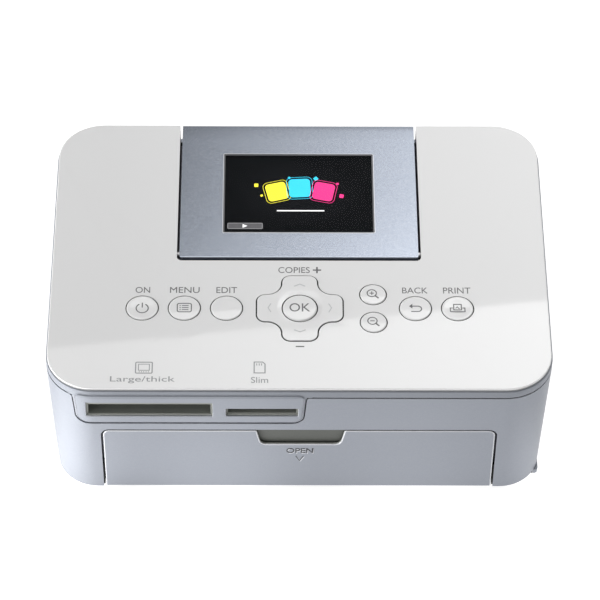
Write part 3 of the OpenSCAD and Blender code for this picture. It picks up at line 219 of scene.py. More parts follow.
paint = {
    "cloud": 18.0, "flakeScale": 2600.0, "grain": 900.0, "spread": 0.10, "bumpScale": 1500.0, "bump": 0.006,
    "bumpStrength": 0.35, "flake": (1.0, 1.0, 1.0),
}
caseBlue = {
    "colour": (0.300, 0.318, 0.358), "shade": (0.288, 0.305, 0.345), "flake": 0.02, "roughness": 0.42, "metal": 0.2,
    "shine": 0.12,
}
screenShell = {
    "colour": (0.40, 0.44, 0.515), "shade": (0.38, 0.42, 0.495), "flake": 0.10, "roughness": 0.22, "metal": 0.9,
    "shine": 0.5,
}
# Painted colours on the casing: a pale painted highlight for the rounded edges, near-black painted shade for the gap
# walls, painted shade on the band above the seam, and olive-grey insides of the slots and notch lifted paler as painted
# light.
edgeLook = {
    "gap": (0.020, 0.021, 0.019), "paintedHighlight": (0.80, 0.81, 0.84), "slots": (0.72, 0.73, 0.70),
    "notchOliveAndLight": (0.42, 0.43, 0.40), "bandShade": 0.80, "bandRise": 25.0, "bandFall": 15.0,
}


def makePainted(name, look, edges=None):
    finish = Finish(name, Metallic=look["metal"], Specular_IOR_Level=look["shine"])
    cloud = finish.noise(paint["cloud"], 3.0)
    base = finish.blendOf(cloud, look["colour"], look["shade"])
    if edges:
        base = paintEdges(finish, base, look["colour"], edges)
    flakes = finish.specks(paint["flakeScale"])
    spark = Field(finish, flakes.socket.node.outputs["Color"])
    grey = finish.node("ShaderNodeSeparateColor", {}, spark)
    finish.set("Base_Color", finish.blendOf(grey * look["flake"], base, paint["flake"]))
    grain = finish.noise(paint["grain"], 2.0)
    finish.set("Roughness", grain * paint["spread"] + (look["roughness"] - paint["spread"] / 2))
    return finish.bump(finish.noise(paint["bumpScale"], 2.0), paint["bump"] * mm, paint["bumpStrength"])


def paintEdges(finish, base, colour, edges):  # painted highlights on the rounded edges and painted shade on the gap walls, by their depth in the casing
    depth = casingDepth(finish)
    x, y, z = finish.axes()
    if "band" in edges:  # painted shade: the band above the seam turns darker away from the left corner
        left, right = edges["band"]
        rise = ((x - left * mm) / (edgeLook["bandRise"] * mm)).clamp()
        fall = ((right * mm - x) / (edgeLook["bandFall"] * mm)).clamp()
        shade = rise * fall * (z > casing["seam"] * mm)
        base = finish.blendOf(shade, base, scaled(colour, edgeLook["bandShade"]))
    # painted highlights: the rounding of the edges made paler
    for low, high, share, test in edges["paintedHighlight"]:
        zone = (depth > low) * (depth < high) * (z < casing["seam"] * mm) * share
        base = finish.blendOf(zone * test(x, z) if test else zone, base, edgeLook["paintedHighlight"])
    # painted shade: the walls inside the gaps made near-black
    low, high = edges["dark"]
    base = finish.blendOf((depth > low) * (depth < high) * (z < casing["deck"] * mm), base, edgeLook["gap"])
    # the insides of the slots and notch: an olive-grey lifted paler as painted light in their shade
    if "space" in edges:
        base = finish.blendOf(insideOf(finish, edges["space"]) * (depth > low), base, edgeLook[edges["tone"]])
    return base


# where on the casing the painted edge highlights go
def atLeftCorner(x, z):
    return x < casing["leftCorner"] * mm


def aboveNotchFoot(x, z):
    return (z > casing["notchFoot"] * mm) * (x > casing["leftCorner"] * mm)


# the bright depth zones are painted highlights, the dark ones painted shade inside the gaps
frameEdges = {
    "dark": (0.42, 1.9), "band": (-88.0, 92.0), "space": slotSpace, "tone": "slots",
    "paintedHighlight": [(-0.14, 0.05, 0.55, None), (0.16, 0.4, 0.9, atLeftCorner)],
}
caseEdges = {"dark": (0.30, 1.9), "paintedHighlight": [(0.06, 0.26, 0.7, aboveNotchFoot)]}
doorEdges = {"dark": (0.33, 3.1), "space": notchSpace, "tone": "notchOliveAndLight", "paintedHighlight": [(0.015, 0.30, 0.9, None)]}
sideDoorEdges = {"dark": (0.28, 2.1), "paintedHighlight": [(0.13, 0.28, 0.5, None)]}

mattePlastic = {"cloud": 60.0, "dark": 0.86, "grain": 1900.0, "depth": 0.03, "strength": 0.4, "spread": 0.06}


def makeMatte(name, colour, roughness=0.55):
    look = mattePlastic
    finish = Finish(name, Specular_IOR_Level=0.4)
    finish.set("Base_Color", finish.blendOf(finish.noise(look["cloud"], 3.0), colour, scaled(colour, look["dark"])))
    grain = finish.noise(look["grain"], 2.0)
    finish.set("Roughness", grain * look["spread"] + roughness)
    return finish.bump(grain, look["depth"] * mm, look["strength"])


metalLook = {
    "dark": 0.82, "spread": 0.16, "depth": 0.004, "strength": 0.4,
    "turned": (60.0, 1400.0, 1400.0), "sheet": (400.0, 400.0, 400.0), "cast": (1200.0, 200.0, 200.0),
    "drawn": (40.0, 1500.0, 1500.0), "polished": (900.0, 900.0, 900.0),
}


def makeMetal(name, colour, roughness, stretch):
    look = metalLook
    finish = Finish(name, Metallic=1.0)
    lines = finish.noise(1.0, 3.0, 0.6, look[stretch])
    finish.set("Base_Color", finish.blendOf(lines, colour, scaled(colour, look["dark"])))
    finish.set("Roughness", lines * look["spread"] + roughness)
    return finish.bump(lines, look["depth"] * mm, look["strength"])


boardLook = {
    "mask": (0.015, 0.12, 0.05), "track": (0.03, 0.19, 0.08), "pitch": 260.0, "trackShare": 0.42, "cell": 0.006,
    "grain": 300.0, "spread": 0.1, "roughness": 0.3, "depth": 0.02, "strength": 0.3,
}


def makeBoard():
    look = boardLook
    finish = Finish("circuitBoard", Specular_IOR_Level=0.5)
    spots = finish.specks(look["pitch"])
    tracks = Field(finish, spots.socket.node.outputs["Distance"]) * look["pitch"] * look["cell"] < look["trackShare"]
    finish.set("Base_Color", finish.blendOf(tracks, look["mask"], look["track"]))
    finish.set("Roughness", finish.noise(look["grain"]) * look["spread"] + look["roughness"])
    return finish.bump(tracks, look["depth"] * mm, look["strength"])


rubberLook = {
    "colour": (0.022, 0.022, 0.023), "dust": (0.045, 0.045, 0.046), "dustScale": 90.0, "spread": 0.12,
    "roughness": 0.68, "grain": 2200.0, "depth": 0.05, "strength": 0.5,
}


def makeRubber():
    look = rubberLook
    finish = Finish("rubber", Specular_IOR_Level=0.3)
    dust = finish.noise(look["dustScale"], 4.0)
    finish.set("Base_Color", finish.blendOf(dust, look["colour"], look["dust"]))
    finish.set("Roughness", dust * look["spread"] + look["roughness"])
    return finish.bump(finish.noise(look["grain"], 3.0), look["depth"] * mm, look["strength"])


windowLook = {
    "tint": (0.006, 0.006, 0.008), "haze": 1.5, "film": 9.0, "alpha": 0.14, "roughness": 0.02, "spread": 0.02,
    "shine": 0.2,
}


def makeWindow():
    look = windowLook
    finish = Finish("window", Specular_IOR_Level=look["shine"], Alpha=look["alpha"])
    film = finish.noise(look["film"], 2.0)
    finish.set("Base_Color", finish.blendOf(film, look["tint"], scaled(look["tint"], look["haze"])))
    finish.set("Roughness", film * look["spread"] + look["roughness"])
    return finish


displayLook = {
    "black": (0.004, 0.005, 0.006), "glow": (0.009, 0.010, 0.012), "middle": (0.0, 28.0), "reach": 17.0, "wide": 1.4,
    "strength": 0.4,
}


def makeDisplay():  # the lit panel: nearly black, a little lighter round its middle
    look = displayLook
    finish = Finish("display", Specular_IOR_Level=0.05, Roughness=0.5)
    x, y, z = finish.axes()
    dx = (x - look["middle"][0] * mm) / (look["reach"] * look["wide"] * mm)
    dy = (y - look["middle"][1] * mm) / (look["reach"] * mm)
    near = (1.0 - (dx * dx + dy * dy)).clamp()
    lit = finish.blendOf(near, look["black"], look["glow"])
    finish.set("Base_Color", lit)
    finish.set("Emission_Color", lit)
    finish.set("Emission_Strength", look["strength"])
    return finish


litLook = {"wash": 70.0, "gain": 1.12, "lift": 0.015, "strength": 0.85}


def makeLit(name, colour):
    look = litLook
    finish = Finish(name, Roughness=0.5, Emission_Strength=look["strength"])
    pale = tuple(min(1.0, c * look["gain"] + look["lift"]) for c in colour)
    wash = finish.blendOf(finish.noise(look["wash"], 2.0), colour, pale)
    finish.set("Base_Color", wash)
    finish.set("Emission_Color", wash)
    return finish


inkLook = {"film": 500.0, "gain": 1.12, "spread": 0.08, "roughness": 0.36}


def makeInk(name, colour):
    look = inkLook
    finish = Finish(name, Specular_IOR_Level=0.4)
    film = finish.noise(look["film"], 3.0)
    finish.set("Base_Color", finish.blendOf(film, colour, scaled(colour, look["gain"])))
    finish.set("Roughness", film * look["spread"] + look["roughness"])
    return finish


plateLowEdge = {"keys": 60.32, "plate": 60.0}
finishes = {
    "white_gloss": makeGlossWhite("keyWhite", plateLowEdge["keys"]),
    "plate": makeGlossWhite("plateWhite", plateLowEdge["plate"]),
    "silver_blue_plastic": makePainted("caseBlue", caseBlue),
    "frame": makePainted("frameBlue", caseBlue, frameEdges),
    "case": makePainted("caseBody", caseBlue, caseEdges),
    "door": makePainted("doorBlue", caseBlue, doorEdges),
    "sideDoor": makePainted("sideDoorBlue", caseBlue, sideDoorEdges),
    "screen_shell": makePainted("screenShell", screenShell),
    "grey_plastic": makeMatte("greyPlastic", (0.17, 0.175, 0.18)),
    "black_plastic": makeMatte("blackPlastic", (0.018, 0.018, 0.02), 0.45),
    "window": makeWindow(),
    "rubber": makeRubber(),
    "steel": makeMetal("steel", (0.60, 0.60, 0.61), 0.24, "turned"),
    "sheet_steel": makeMetal("sheetSteel", (0.55, 0.56, 0.57), 0.38, "sheet"),
    "circuit_board": makeBoard(),
    "ivory_plastic": makeMatte("ivoryPlastic", (0.62, 0.59, 0.50), 0.42),
    "brass": makeMetal("brass", (0.70, 0.50, 0.22), 0.28, "cast"),
    "alu": makeMetal("aluminium", (0.66, 0.67, 0.69), 0.34, "drawn"),
    # the card sockets' olive-grey is lifted paler as painted light in the shaded slots
    "socket": makeMatte("socketGrey", (0.26, 0.27, 0.25), 0.4),
    "olive": makeMatte("oliveGrey", (0.105, 0.11, 0.10), 0.5),
    "ink": makeInk("inkGrey", (0.135, 0.135, 0.14)),
    "paleInk": makeInk("paleInk", (0.30, 0.305, 0.315)),
    "display": makeDisplay(),
}
ownFinish = {  # pieces that differ from the rest of their material
    "lcd_panel": "display", "top_plate": "plate", "door_catch": "olive", "upper_frame": "frame", "main_case": "case",
    "front_door": "door", "side_door": "sideDoor", "large_card_socket": "socket", "small_card_socket": "socket",
}
for entry in frame["record"]["subparts"]:
    piece = nodes[entry["node"]]
    piece.data.materials.clear()
    piece.data.materials.append(finishes[entry["material_slot"]].material)
for name, finish in ownFinish.items():
    nodes[name].data.materials[0] = finishes[finish].material
print("finishes made:", len(finishes))


# Rounded edges on the moulded pieces.

edgeRule = {"weld": 0.002, "smoothAngle": 33, "roundAngle": 38, "segments": 3, "flatAngle": 0.05}


def makeSmoother():  # joins the faces and shades them smooth up to an angle
    group = bpy.data.node_groups.new("smoothByAngle", "GeometryNodeTree")
    group.interface.new_socket("Geometry", in_out="INPUT", socket_type="NodeSocketGeometry")
    group.interface.new_socket("Geometry", in_out="OUTPUT", socket_type="NodeSocketGeometry")
    add, link = group.nodes.new, group.links.new
    start, end = add("NodeGroupInput"), add("NodeGroupOutput")
    merge, angle = add("GeometryNodeMergeByDistance"), add("GeometryNodeInputMeshEdgeAngle")
    above = add("FunctionNodeCompare")
    faces, edges = add("GeometryNodeSetShadeSmooth"), add("GeometryNodeSetShadeSmooth")
    merge.inputs["Distance"].default_value = edgeRule["weld"] * mm
    above.data_type, above.operation = "FLOAT", "GREATER_THAN"
    above.inputs[1].default_value = math.radians(edgeRule["smoothAngle"])
    faces.domain, edges.domain = "FACE", "EDGE"
    faces.inputs["Shade Smooth"].default_value = True
    edges.inputs["Shade Smooth"].default_value = False
    link(start.outputs[0], merge.inputs[0])
    link(merge.outputs[0], faces.inputs[0])
    link(angle.outputs[0], above.inputs[0])
    link(faces.outputs[0], edges.inputs[0])
    link(above.outputs[0], edges.inputs["Selection"])
    link(edges.outputs[0], end.inputs[0])
    return group


smoother = makeSmoother()
edgeRadius = {
    "top_plate": 0.22, "upper_frame": 0.35, "main_case": 0.4, "front_door": 0.45, "side_door": 0.4, "rear_cover": 0.35,
    "screen_bezel": 0.3, "screen_back": 0.3, "control_pad": 0.35, "base_tray": 0.3, "head_arm": 0.15, "bay_floor": 0.2,
    "thermal_head": 0.2, "large_card_socket": 0.15, "small_card_socket": 0.12, "dc_inlet": 0.15, "usb_socket": 0.15,
    "feed_motor": 0.3, "feet": 0.6, "chassis_left": 0.15, "chassis_right": 0.15, "gear_plate": 0.15, "lcd_panel": 0.1,
    "board_chips": 0.15, "key_switches": 0.12, "pad_cradle": 0.1, "pad_pivot_ring": 0.1,
}
openEdges = {"front_door", "upper_frame"}  # their short edges don't hold the rounding back
flatFaced = {"front_door"}  # its triangles are joined to whole faces before the rounding


def soften(piece, radius):
    join = piece.modifiers.new("join", "WELD")
    join.merge_threshold = edgeRule["weld"] * mm
    if piece.name in flatFaced:
        flatten = piece.modifiers.new("flatten", "DECIMATE")
        flatten.decimate_type = "DISSOLVE"
        flatten.angle_limit = math.radians(edgeRule["flatAngle"])
    if radius:
        rounding = piece.modifiers.new("rounding", "BEVEL")
        rounding.width = radius * mm
        rounding.segments = edgeRule["segments"]
        rounding.limit_method = "ANGLE"
        rounding.angle_limit = math.radians(edgeRule["roundAngle"])
        rounding.use_clamp_overlap = piece.name not in openEdges
        rounding.miter_outer = "MITER_ARC"
    shade = piece.modifiers.new("smooth", "NODES")
    shade.node_group = smoother
    if radius:
        level = piece.modifiers.new("levelFaces", "WEIGHTED_NORMAL")
        level.keep_sharp = True
        level.weight = 100


for name, piece in nodes.items():
    soften(piece, edgeRadius.get(name, 0.0))
print("edges rounded:", len(edgeRadius))


# Printed words and signs. Their sizes and points are in millimetres.

drawing = {"curveSteps": 5, "mitre": 0.35, "join": 0.002, "sink": 0.03, "keySink": 0.02}


def wordShape(text, bold=0.0):  # the built-in font's filled letters as a mesh
    curve = bpy.data.curves.new("word", "FONT")
    curve.body = text
    curve.resolution_u = drawing["curveSteps"]
    curve.offset = bold
    holder = bpy.data.objects.new("word", curve)
    scene.collection.objects.link(holder)
    bpy.context.view_layer.update()
    mesh = bpy.data.meshes.new_from_object(holder.evaluated_get(bpy.context.evaluated_depsgraph_get()))
    bpy.data.objects.remove(holder)
    return mesh


def addWord(shape, text, centre, width, height, bold=0.0):
    mesh = wordShape(text, bold)
    xs = [v.co.x for v in mesh.vertices]
    ys = [v.co.y for v in mesh.vertices]
    sx = width / (max(xs) - min(xs))
    sy = height / (max(ys) - min(ys))
    mesh.transform(Matrix.Translation((centre[0], centre[1], 0)) @ Matrix.Diagonal((sx, sy, 1, 1))
                   @ Matrix.Translation((-(max(xs) + min(xs)) / 2, -(max(ys) + min(ys)) / 2, 0)))
    shape.from_mesh(mesh)
    bpy.data.meshes.remove(mesh)


def addFill(shape, points):
    shape.faces.new([shape.verts.new((x, y, 0)) for x, y in points])


def addLine(shape, points, width, closed=False):  # a line of even width with mitred corners
    count = len(points)
    sides = []
    for i, (x, y) in enumerate(points):
        before = points[i - 1] if closed or i else None
        after = points[(i + 1) % count] if closed or i < count - 1 else None
        ways = []
        if before:
            ways.append((x - before[0], y - before[1]))
        if after:
            ways.append((after[0] - x, after[1] - y))
        normals = [(-wy / math.hypot(wx, wy), wx / math.hypot(wx, wy)) for wx, wy in ways]
        nx = sum(n[0] for n in normals) / len(normals)
        ny = sum(n[1] for n in normals) / len(normals)
        reach = width / 2 / max(drawing["mitre"], nx * nx + ny * ny)
        sides.append([shape.verts.new((x + nx * reach, y + ny * reach, 0)),
                      shape.verts.new((x - nx * reach, y - ny * reach, 0))])
    for i in range(count if closed else count - 1):
        a, b = sides[i], sides[(i + 1) % count]
        shape.faces.new((a[0], a[1], b[1], b[0]))


def arc(centre, radius, start, end, steps=24):
    turns = [math.radians(start + (end - start) * i / steps) for i in range(steps + 1)]
    return [(centre[0] + radius * math.cos(turn), centre[1] + radius * math.sin(turn)) for turn in turns]


def roundedBox(x0, x1, y0, y1, r, steps=5):
    return (arc((x1 - r, y1 - r), r, 0, 90, steps) + arc((x0 + r, y1 - r), r, 90, 180, steps)
            + arc((x0 + r, y0 + r), r, 180, 270, steps) + arc((x1 - r, y0 + r), r, 270, 360, steps))


def printed(name, body, draw, place=(0, 0, 0), turn=(0, 0, 0), thick=0.05, finish="ink",
            follow=None):
    shape = bmesh.new()
    draw(shape)
    bmesh.ops.remove_doubles(shape, verts=shape.verts, dist=drawing["join"])
    for face in shape.faces:
        if face.normal.z < 0:
            face.normal_flip()
    top = bmesh.ops.extrude_face_region(shape, geom=list(shape.faces))
    lifted = [e for e in top["geom"] if isinstance(e, bmesh.types.BMVert)]
    for vert in shape.verts:
        vert.co.z += follow(vert.co.x, vert.co.y) if follow else 0.0
    for vert in lifted:
        vert.co.z += thick
    bmesh.ops.recalc_face_normals(shape, faces=shape.faces)
    mesh = bpy.data.meshes.new(name)
    shape.transform(Matrix.Scale(mm, 4))
    shape.to_mesh(mesh)
    shape.free()
    mesh.materials.append(finishes[finish].material)
    piece = bpy.data.objects.new(name, mesh)
    scene.collection.objects.link(piece)
    piece.matrix_world = (Matrix.Translation(Vector(place) * mm)
                          @ Matrix.Rotation(turn[2], 4, "Z") @ Matrix.Rotation(turn[0], 4, "X"))
    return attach(piece, body)


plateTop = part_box("top_plate")[1].z / mm
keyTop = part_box("menu_button")[1].z / mm


def middleOf(node):
    low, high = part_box(node)
    return (low.x + high.x) / 2 / mm, (low.y + high.y) / 2 / mm


keyLegends = {
    "rise": 8.6, "height": 2.8, "widths": {"on": 5.2, "menu": 10.6, "edit": 7.4, "back": 9.1, "print": 9.8},
}


def printKeyLegends():
    look = keyLegends
    for key, width in look["widths"].items():
        x, y = middleOf(key + "_button")
        printed("legend_" + key, "casing",
                lambda s: addWord(s, key.upper(), (x, y + look["rise"]), width, look["height"]),
                (0, 0, plateTop - drawing["sink"]))


copiesLegend = {
    "word": 11.3, "height": 2.8, "wordLeft": 2.0, "y": 18.3, "plusRight": 6.25, "plus": 3.0, "line": 0.62,
    "minus": 3.0, "minusDrop": 17.9, "minusLine": 0.5,
}


def printCopiesLegend():
    look = copiesLegend
    x, y = middleOf("control_pad")

    def draw(shape):
        addWord(shape, "COPIES", (x - look["wordLeft"], y + look["y"]), look["word"], look["height"])
        cx, cy, r, gap = x + look["plusRight"], y + look["y"], look["plus"] / 2, look["line"] / 2
        addLine(shape, [(cx - r, cy), (cx + r, cy)], look["line"])
        addLine(shape, [(cx, cy - r), (cx, cy - gap)], look["line"])
        addLine(shape, [(cx, cy + gap), (cx, cy + r)], look["line"])
        half, low = look["minus"] / 2, y - look["minusDrop"]
        addLine(shape, [(x - half, low), (x + half, low)], look["minusLine"])

    printed("legend_copies", "casing", draw, (0, 0, plateTop - drawing["sink"]))


keySigns = {"line": 0.42, "thin": 0.378, "fine": 0.34, "dishDepth": 0.35, "dishHalf": 4.6, "ok": (7.4, 3.9)}
powerSign = {"centre": (0.0, -0.1), "radius": 2.15, "from": 120, "to": 420, "stem": [(0.0, 0.3), (0.0, 2.5)]}
menuSign = {"half": (2.5, 2.0), "corner": 0.7, "rows": (-0.95, 0.0, 0.95), "bar": (-0.9, 1.5), "dot": (-1.7, -1.3)}
backSign = {
    "start": (-1.3, 0.9), "bend": (0.9, -0.35), "radius": 1.25, "end": (-1.6, -1.6),
    "head": [(-1.1, 2.0), (-2.3, 0.9), (-1.1, -0.2)],
}
sheetsSign = {
    "slotLeft": [(-2.6, -1.5), (-2.6, 0.3), (-1.7, 0.3)],
    "slotRight": [(1.7, 0.3), (2.6, 0.3), (2.6, -1.5), (-2.6, -1.5)],
    "sheet": [(-1.35, 2.0), (1.35, 2.0), (1.35, -0.55), (-1.35, -0.55)],
    "tick": [(-0.7, 0.2), (-0.1, 0.9), (0.7, -0.1)], "tickLine": 0.3,
}
lensSign = {
    "centre": (-0.45, 0.5), "radius": 1.65, "handleFrom": 0.75, "handle": 1.15, "handleLine": 0.55, "arm": 0.8,
    "armGap": 0.17,
}


def drawPower(shape):
    look = powerSign
    addLine(shape, arc(look["centre"], look["radius"], look["from"], look["to"]), keySigns["line"])
    addLine(shape, look["stem"], keySigns["line"])


def drawMenu(shape):
    w, h = menuSign["half"]
    addLine(shape, roundedBox(-w, w, -h, h, menuSign["corner"]), keySigns["thin"], True)
    for row in menuSign["rows"]:
        for left, right in (menuSign["bar"], menuSign["dot"]):
            addLine(shape, [(left, row), (right, row)], keySigns["fine"])


def drawBack(shape):
    look = backSign
    bend = arc(look["bend"], look["radius"], 90, -90, 14)
    addLine(shape, [look["start"]] + bend + [look["end"]], keySigns["line"])
    addFill(shape, look["head"])


def drawSheets(shape):  # two prints coming out of a slot
    look = sheetsSign
    addLine(shape, look["slotLeft"], keySigns["thin"])
    addLine(shape, look["slotRight"], keySigns["thin"])
    addLine(shape, look["sheet"], keySigns["thin"], True)
    addLine(shape, look["tick"], look["tickLine"])


def lensDrawing(plus):
    look = lensSign

    def draw(shape):
        (cx, cy), r, arm, gap = look["centre"], look["radius"], look["arm"], look["armGap"]
        addLine(shape, arc((cx, cy), r, 0, 360, 28)[:-1], keySigns["thin"], True)
        start, end = r * look["handleFrom"], r * look["handleFrom"] + look["handle"]
        addLine(shape, [(cx + start, cy - start), (cx + end, cy - end)], look["handleLine"])
        addLine(shape, [(cx - arm, cy), (cx + arm, cy)], keySigns["fine"])
        if plus:
            addLine(shape, [(cx, cy - arm), (cx, cy - gap)], keySigns["fine"])
            addLine(shape, [(cx, cy + gap), (cx, cy + arm)], keySigns["fine"])
    return draw


def dishRise(x, y):  # the dished face of the two end keys
    half, depth = keySigns["dishHalf"], keySigns["dishDepth"]
    ball = (half * half + depth * depth) / (2 * depth)
    return ball - depth - math.sqrt(ball * ball - x * x - y * y)


def printKeySigns():
    signs = (("on", drawPower, dishRise), ("menu", drawMenu, None), ("back", drawBack, None),
             ("print", drawSheets, dishRise), ("zoom_in", lensDrawing(True), None),
             ("zoom_out", lensDrawing(False), None))
    for key, draw, follow in signs:
        x, y = middleOf(key + "_button")
        printed("sign_" + key, key + "_button", draw, (x, y, keyTop - drawing["keySink"]), follow=follow)
    x, y = middleOf("ok_button")
    width, height = keySigns["ok"]
    printed("sign_ok", "ok_button", lambda s: addWord(s, "OK", (0, 0), width, height),
            (x, y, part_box("ok_button")[1].z / mm - drawing["keySink"]))


cardSigns = {
    "line": 0.4, "captionY": -62.9,
    "large": {"at": (-54.5, -57.4), "half": (2.9, 2.5), "corner": 0.35, "caption": ("Large/thick", -0.4, 22.6, 3.2),
              "inner": [(-1.9, -1.2), (1.9, -1.2), (1.9, 1.6), (-1.9, 1.6)], "innerLine": 0.3,
              "pins": (5, -1.6, 0.8, -2.1, -1.6), "pinLine": 0.28},
    "small": {"at": (-14.0, -57.2), "caption": ("Slim", 0.0, 6.0, 2.7),
              "outline": [(-1.9, -2.5), (-1.9, 2.5), (1.0, 2.5), (1.9, 1.6), (1.9, -2.5)],
              "pins": (3, -1.0, 0.85, 1.9, 0.9), "pinLine": 0.32},
}


def printCardSigns():
    look = cardSigns

    def pins(shape, x, y, card):  # a row of contacts: count, first, pitch, start and end
        count, first, pitch, start, end = card["pins"]
        for i in range(count):
            addLine(shape, [(x + first + i * pitch, y + start), (x + first + i * pitch, y + end)], card["pinLine"])

    def around(x, y, points):
        return [(x + a, y + b) for a, b in points]

    def draw(shape):
        large, small = look["large"], look["small"]
        x, y = large["at"]
        w, h = large["half"]
        addLine(shape, roundedBox(x - w, x + w, y - h, y + h, large["corner"], 2), look["line"], True)
        addLine(shape, around(x, y, large["inner"]), large["innerLine"], True)
        pins(shape, x, y, large)
        x, y = small["at"]
        addLine(shape, around(x, y, small["outline"]), look["line"], True)
        pins(shape, x, y, small)
        for card in (large, small):
            text, shift, width, height = card["caption"]
            addWord(shape, text, (card["at"][0] + shift, look["captionY"]), width, height)

    printed("card_signs", "casing", draw, (0, 0, plateTop - drawing["sink"]), finish="paleInk")


padMarks = {"reach": 11.3, "half": 1.0, "line": 0.34, "thick": 0.09}


def printPadMarks():
    look = padMarks
    x, y = middleOf("control_pad")

    def draw(shape):
        r, h = look["reach"], look["half"]
        for ux, uy in ((1, 0), (-1, 0), (0, 1), (0, -1)):
            foot = ((r - h) * ux, (r - h) * uy)
            side = (2 * h * uy, 2 * h * ux)
            points = [(foot[0] - side[0], foot[1] + side[1]), (r * ux, r * uy), (foot[0] + side[0], foot[1] - side[1])]
            addLine(shape, points, look["line"])

    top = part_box("control_pad")[1].z / mm
    printed("pad_marks", "control_pad", draw, (x, y, top - drawing["keySink"]), thick=look["thick"], finish="padMark")


windowRimHighlight = {
    "width": 0.3, "corner": 0.6, "sink": 0.02, "thick": 0.05, "colour": (0.62, 0.64, 0.68), "mask": 0.5,
    "maskCorner": 0.3, "maskSink": 0.01, "maskThick": 0.02,
}


def printWindowRim():  # a pale ring round the window as a painted highlight for its bevelled edge, and the black border inside the glass
    look = windowRimHighlight
    low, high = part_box("screen_lens")
    x0, x1, y0, y1 = low.x / mm, high.x / mm, low.y / mm, high.y / mm
    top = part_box("screen_bezel")[1].z / mm

    def border(gap, corner, width):
        return lambda s: addLine(s, roundedBox(x0 - gap, x1 + gap, y0 - gap, y1 + gap, corner), width, True)

    printed("window_rim_highlight", "screen", border(look["width"] / 2, look["corner"], look["width"]),
            (0, 0, top - look["sink"]), thick=look["thick"], finish="rim")
    printed("window_mask", "screen", border(-look["mask"] / 2, look["maskCorner"], look["mask"]),
            (0, 0, high.z / mm - look["maskSink"]), thick=look["maskThick"])


doorWords = {
    "foot": (0.3, -65.3), "up": 21.5, "width": 9.6, "height": 2.9, "bold": 0.012, "chevronUp": 16.9, "half": 1.35,
    "line": 0.45, "highlightShift": (0.24, -0.34), "highlightThick": 0.03, "thick": 0.06,
}


def printDoorWords():
    look = doorWords
    turn = (math.pi / 2 + math.atan(casingSlope), 0, 0)
    (x, y), z = look["foot"], casing["bottom"]
    right, down = look["highlightShift"]

    def draw(shape):
        addWord(shape, "OPEN", (0, look["up"]), look["width"], look["height"], look["bold"])
        middle, h = look["chevronUp"], look["half"]
        addLine(shape, [(-h, middle + h), (0, middle - h), (h, middle + h)], look["line"])

    # the moulded letters are drawn twice: a pale copy set off right and down as their painted highlight, and a
    # near-black copy as their painted shade
    printed("door_words_highlight", "front_door", draw, (x + right, y, z + down), turn, thick=look["highlightThick"],
            finish="doorLetterHighlight")
    printed("door_words", "front_door", draw, (x, y, z), turn, thick=look["thick"], finish="doorLetterShade")


finishes["padMark"] = makeMatte("padMark", (0.60, 0.61, 0.62), 0.3)
# painted shade for the moulded letters on the door
finishes["doorLetterShade"] = makeInk("doorLetterShade", (0.045, 0.048, 0.055))
# the ring round the window is a pale painted highlight
finishes["rim"] = makeMetal("rim", windowRimHighlight["colour"], 0.3, "polished")
# painted highlight for the moulded letters on the door
finishes["doorLetterHighlight"] = makeInk("doorLetterHighlight", (0.62, 0.63, 0.66))
printKeyLegends()
printCopiesLegend()
printKeySigns()
printCardSigns()
printPadMarks()
printDoorWords()
printWindowRim()
print("words and signs printed")


# The picture on the display: a made-up start screen.

startScreen = {
    "tiles": [(-8.0, 28.4, 7.6, 14, "yellow"), (0.4, 30.2, 8.0, 3, "cyan"), (9.2, 28.4, 7.6, -12, "magenta")],
    "chips": [(-15.6, 31.6, 1.5, "yellow"), (-13.6, 26.4, 0.9, "yellow"), (6.4, 35.0, 1.5, "cyan"),
              (-3.4, 35.4, 0.9, "cyan"), (15.8, 26.2, 1.6, "magenta"), (14.4, 32.4, 0.9, "magenta")],
    "tall": 1.15, "corner": 0.18, "ring": (0.75, 0.24, 0.18), "chipTurn": 20, "lift": 0.02, "layer": 0.03, "thick": 0.02,
    "bar": (-8.0, 9.4, 18.8, 0.6), "key": (-25.9, -13.3, 9.8, 12.5), "keyCorner": 0.4, "keyLine": 0.3,
    "mark": (-19.6, 11.15, 0.9),
}
litColours = {
    "yellow": (0.86, 0.78, 0.03), "cyan": (0.02, 0.58, 0.80), "magenta": (0.84, 0.02, 0.22),
    "paper": (0.85, 0.85, 0.86), "keyGrey": (0.07, 0.07, 0.075), "keyLine": (0.20, 0.20, 0.21),
}


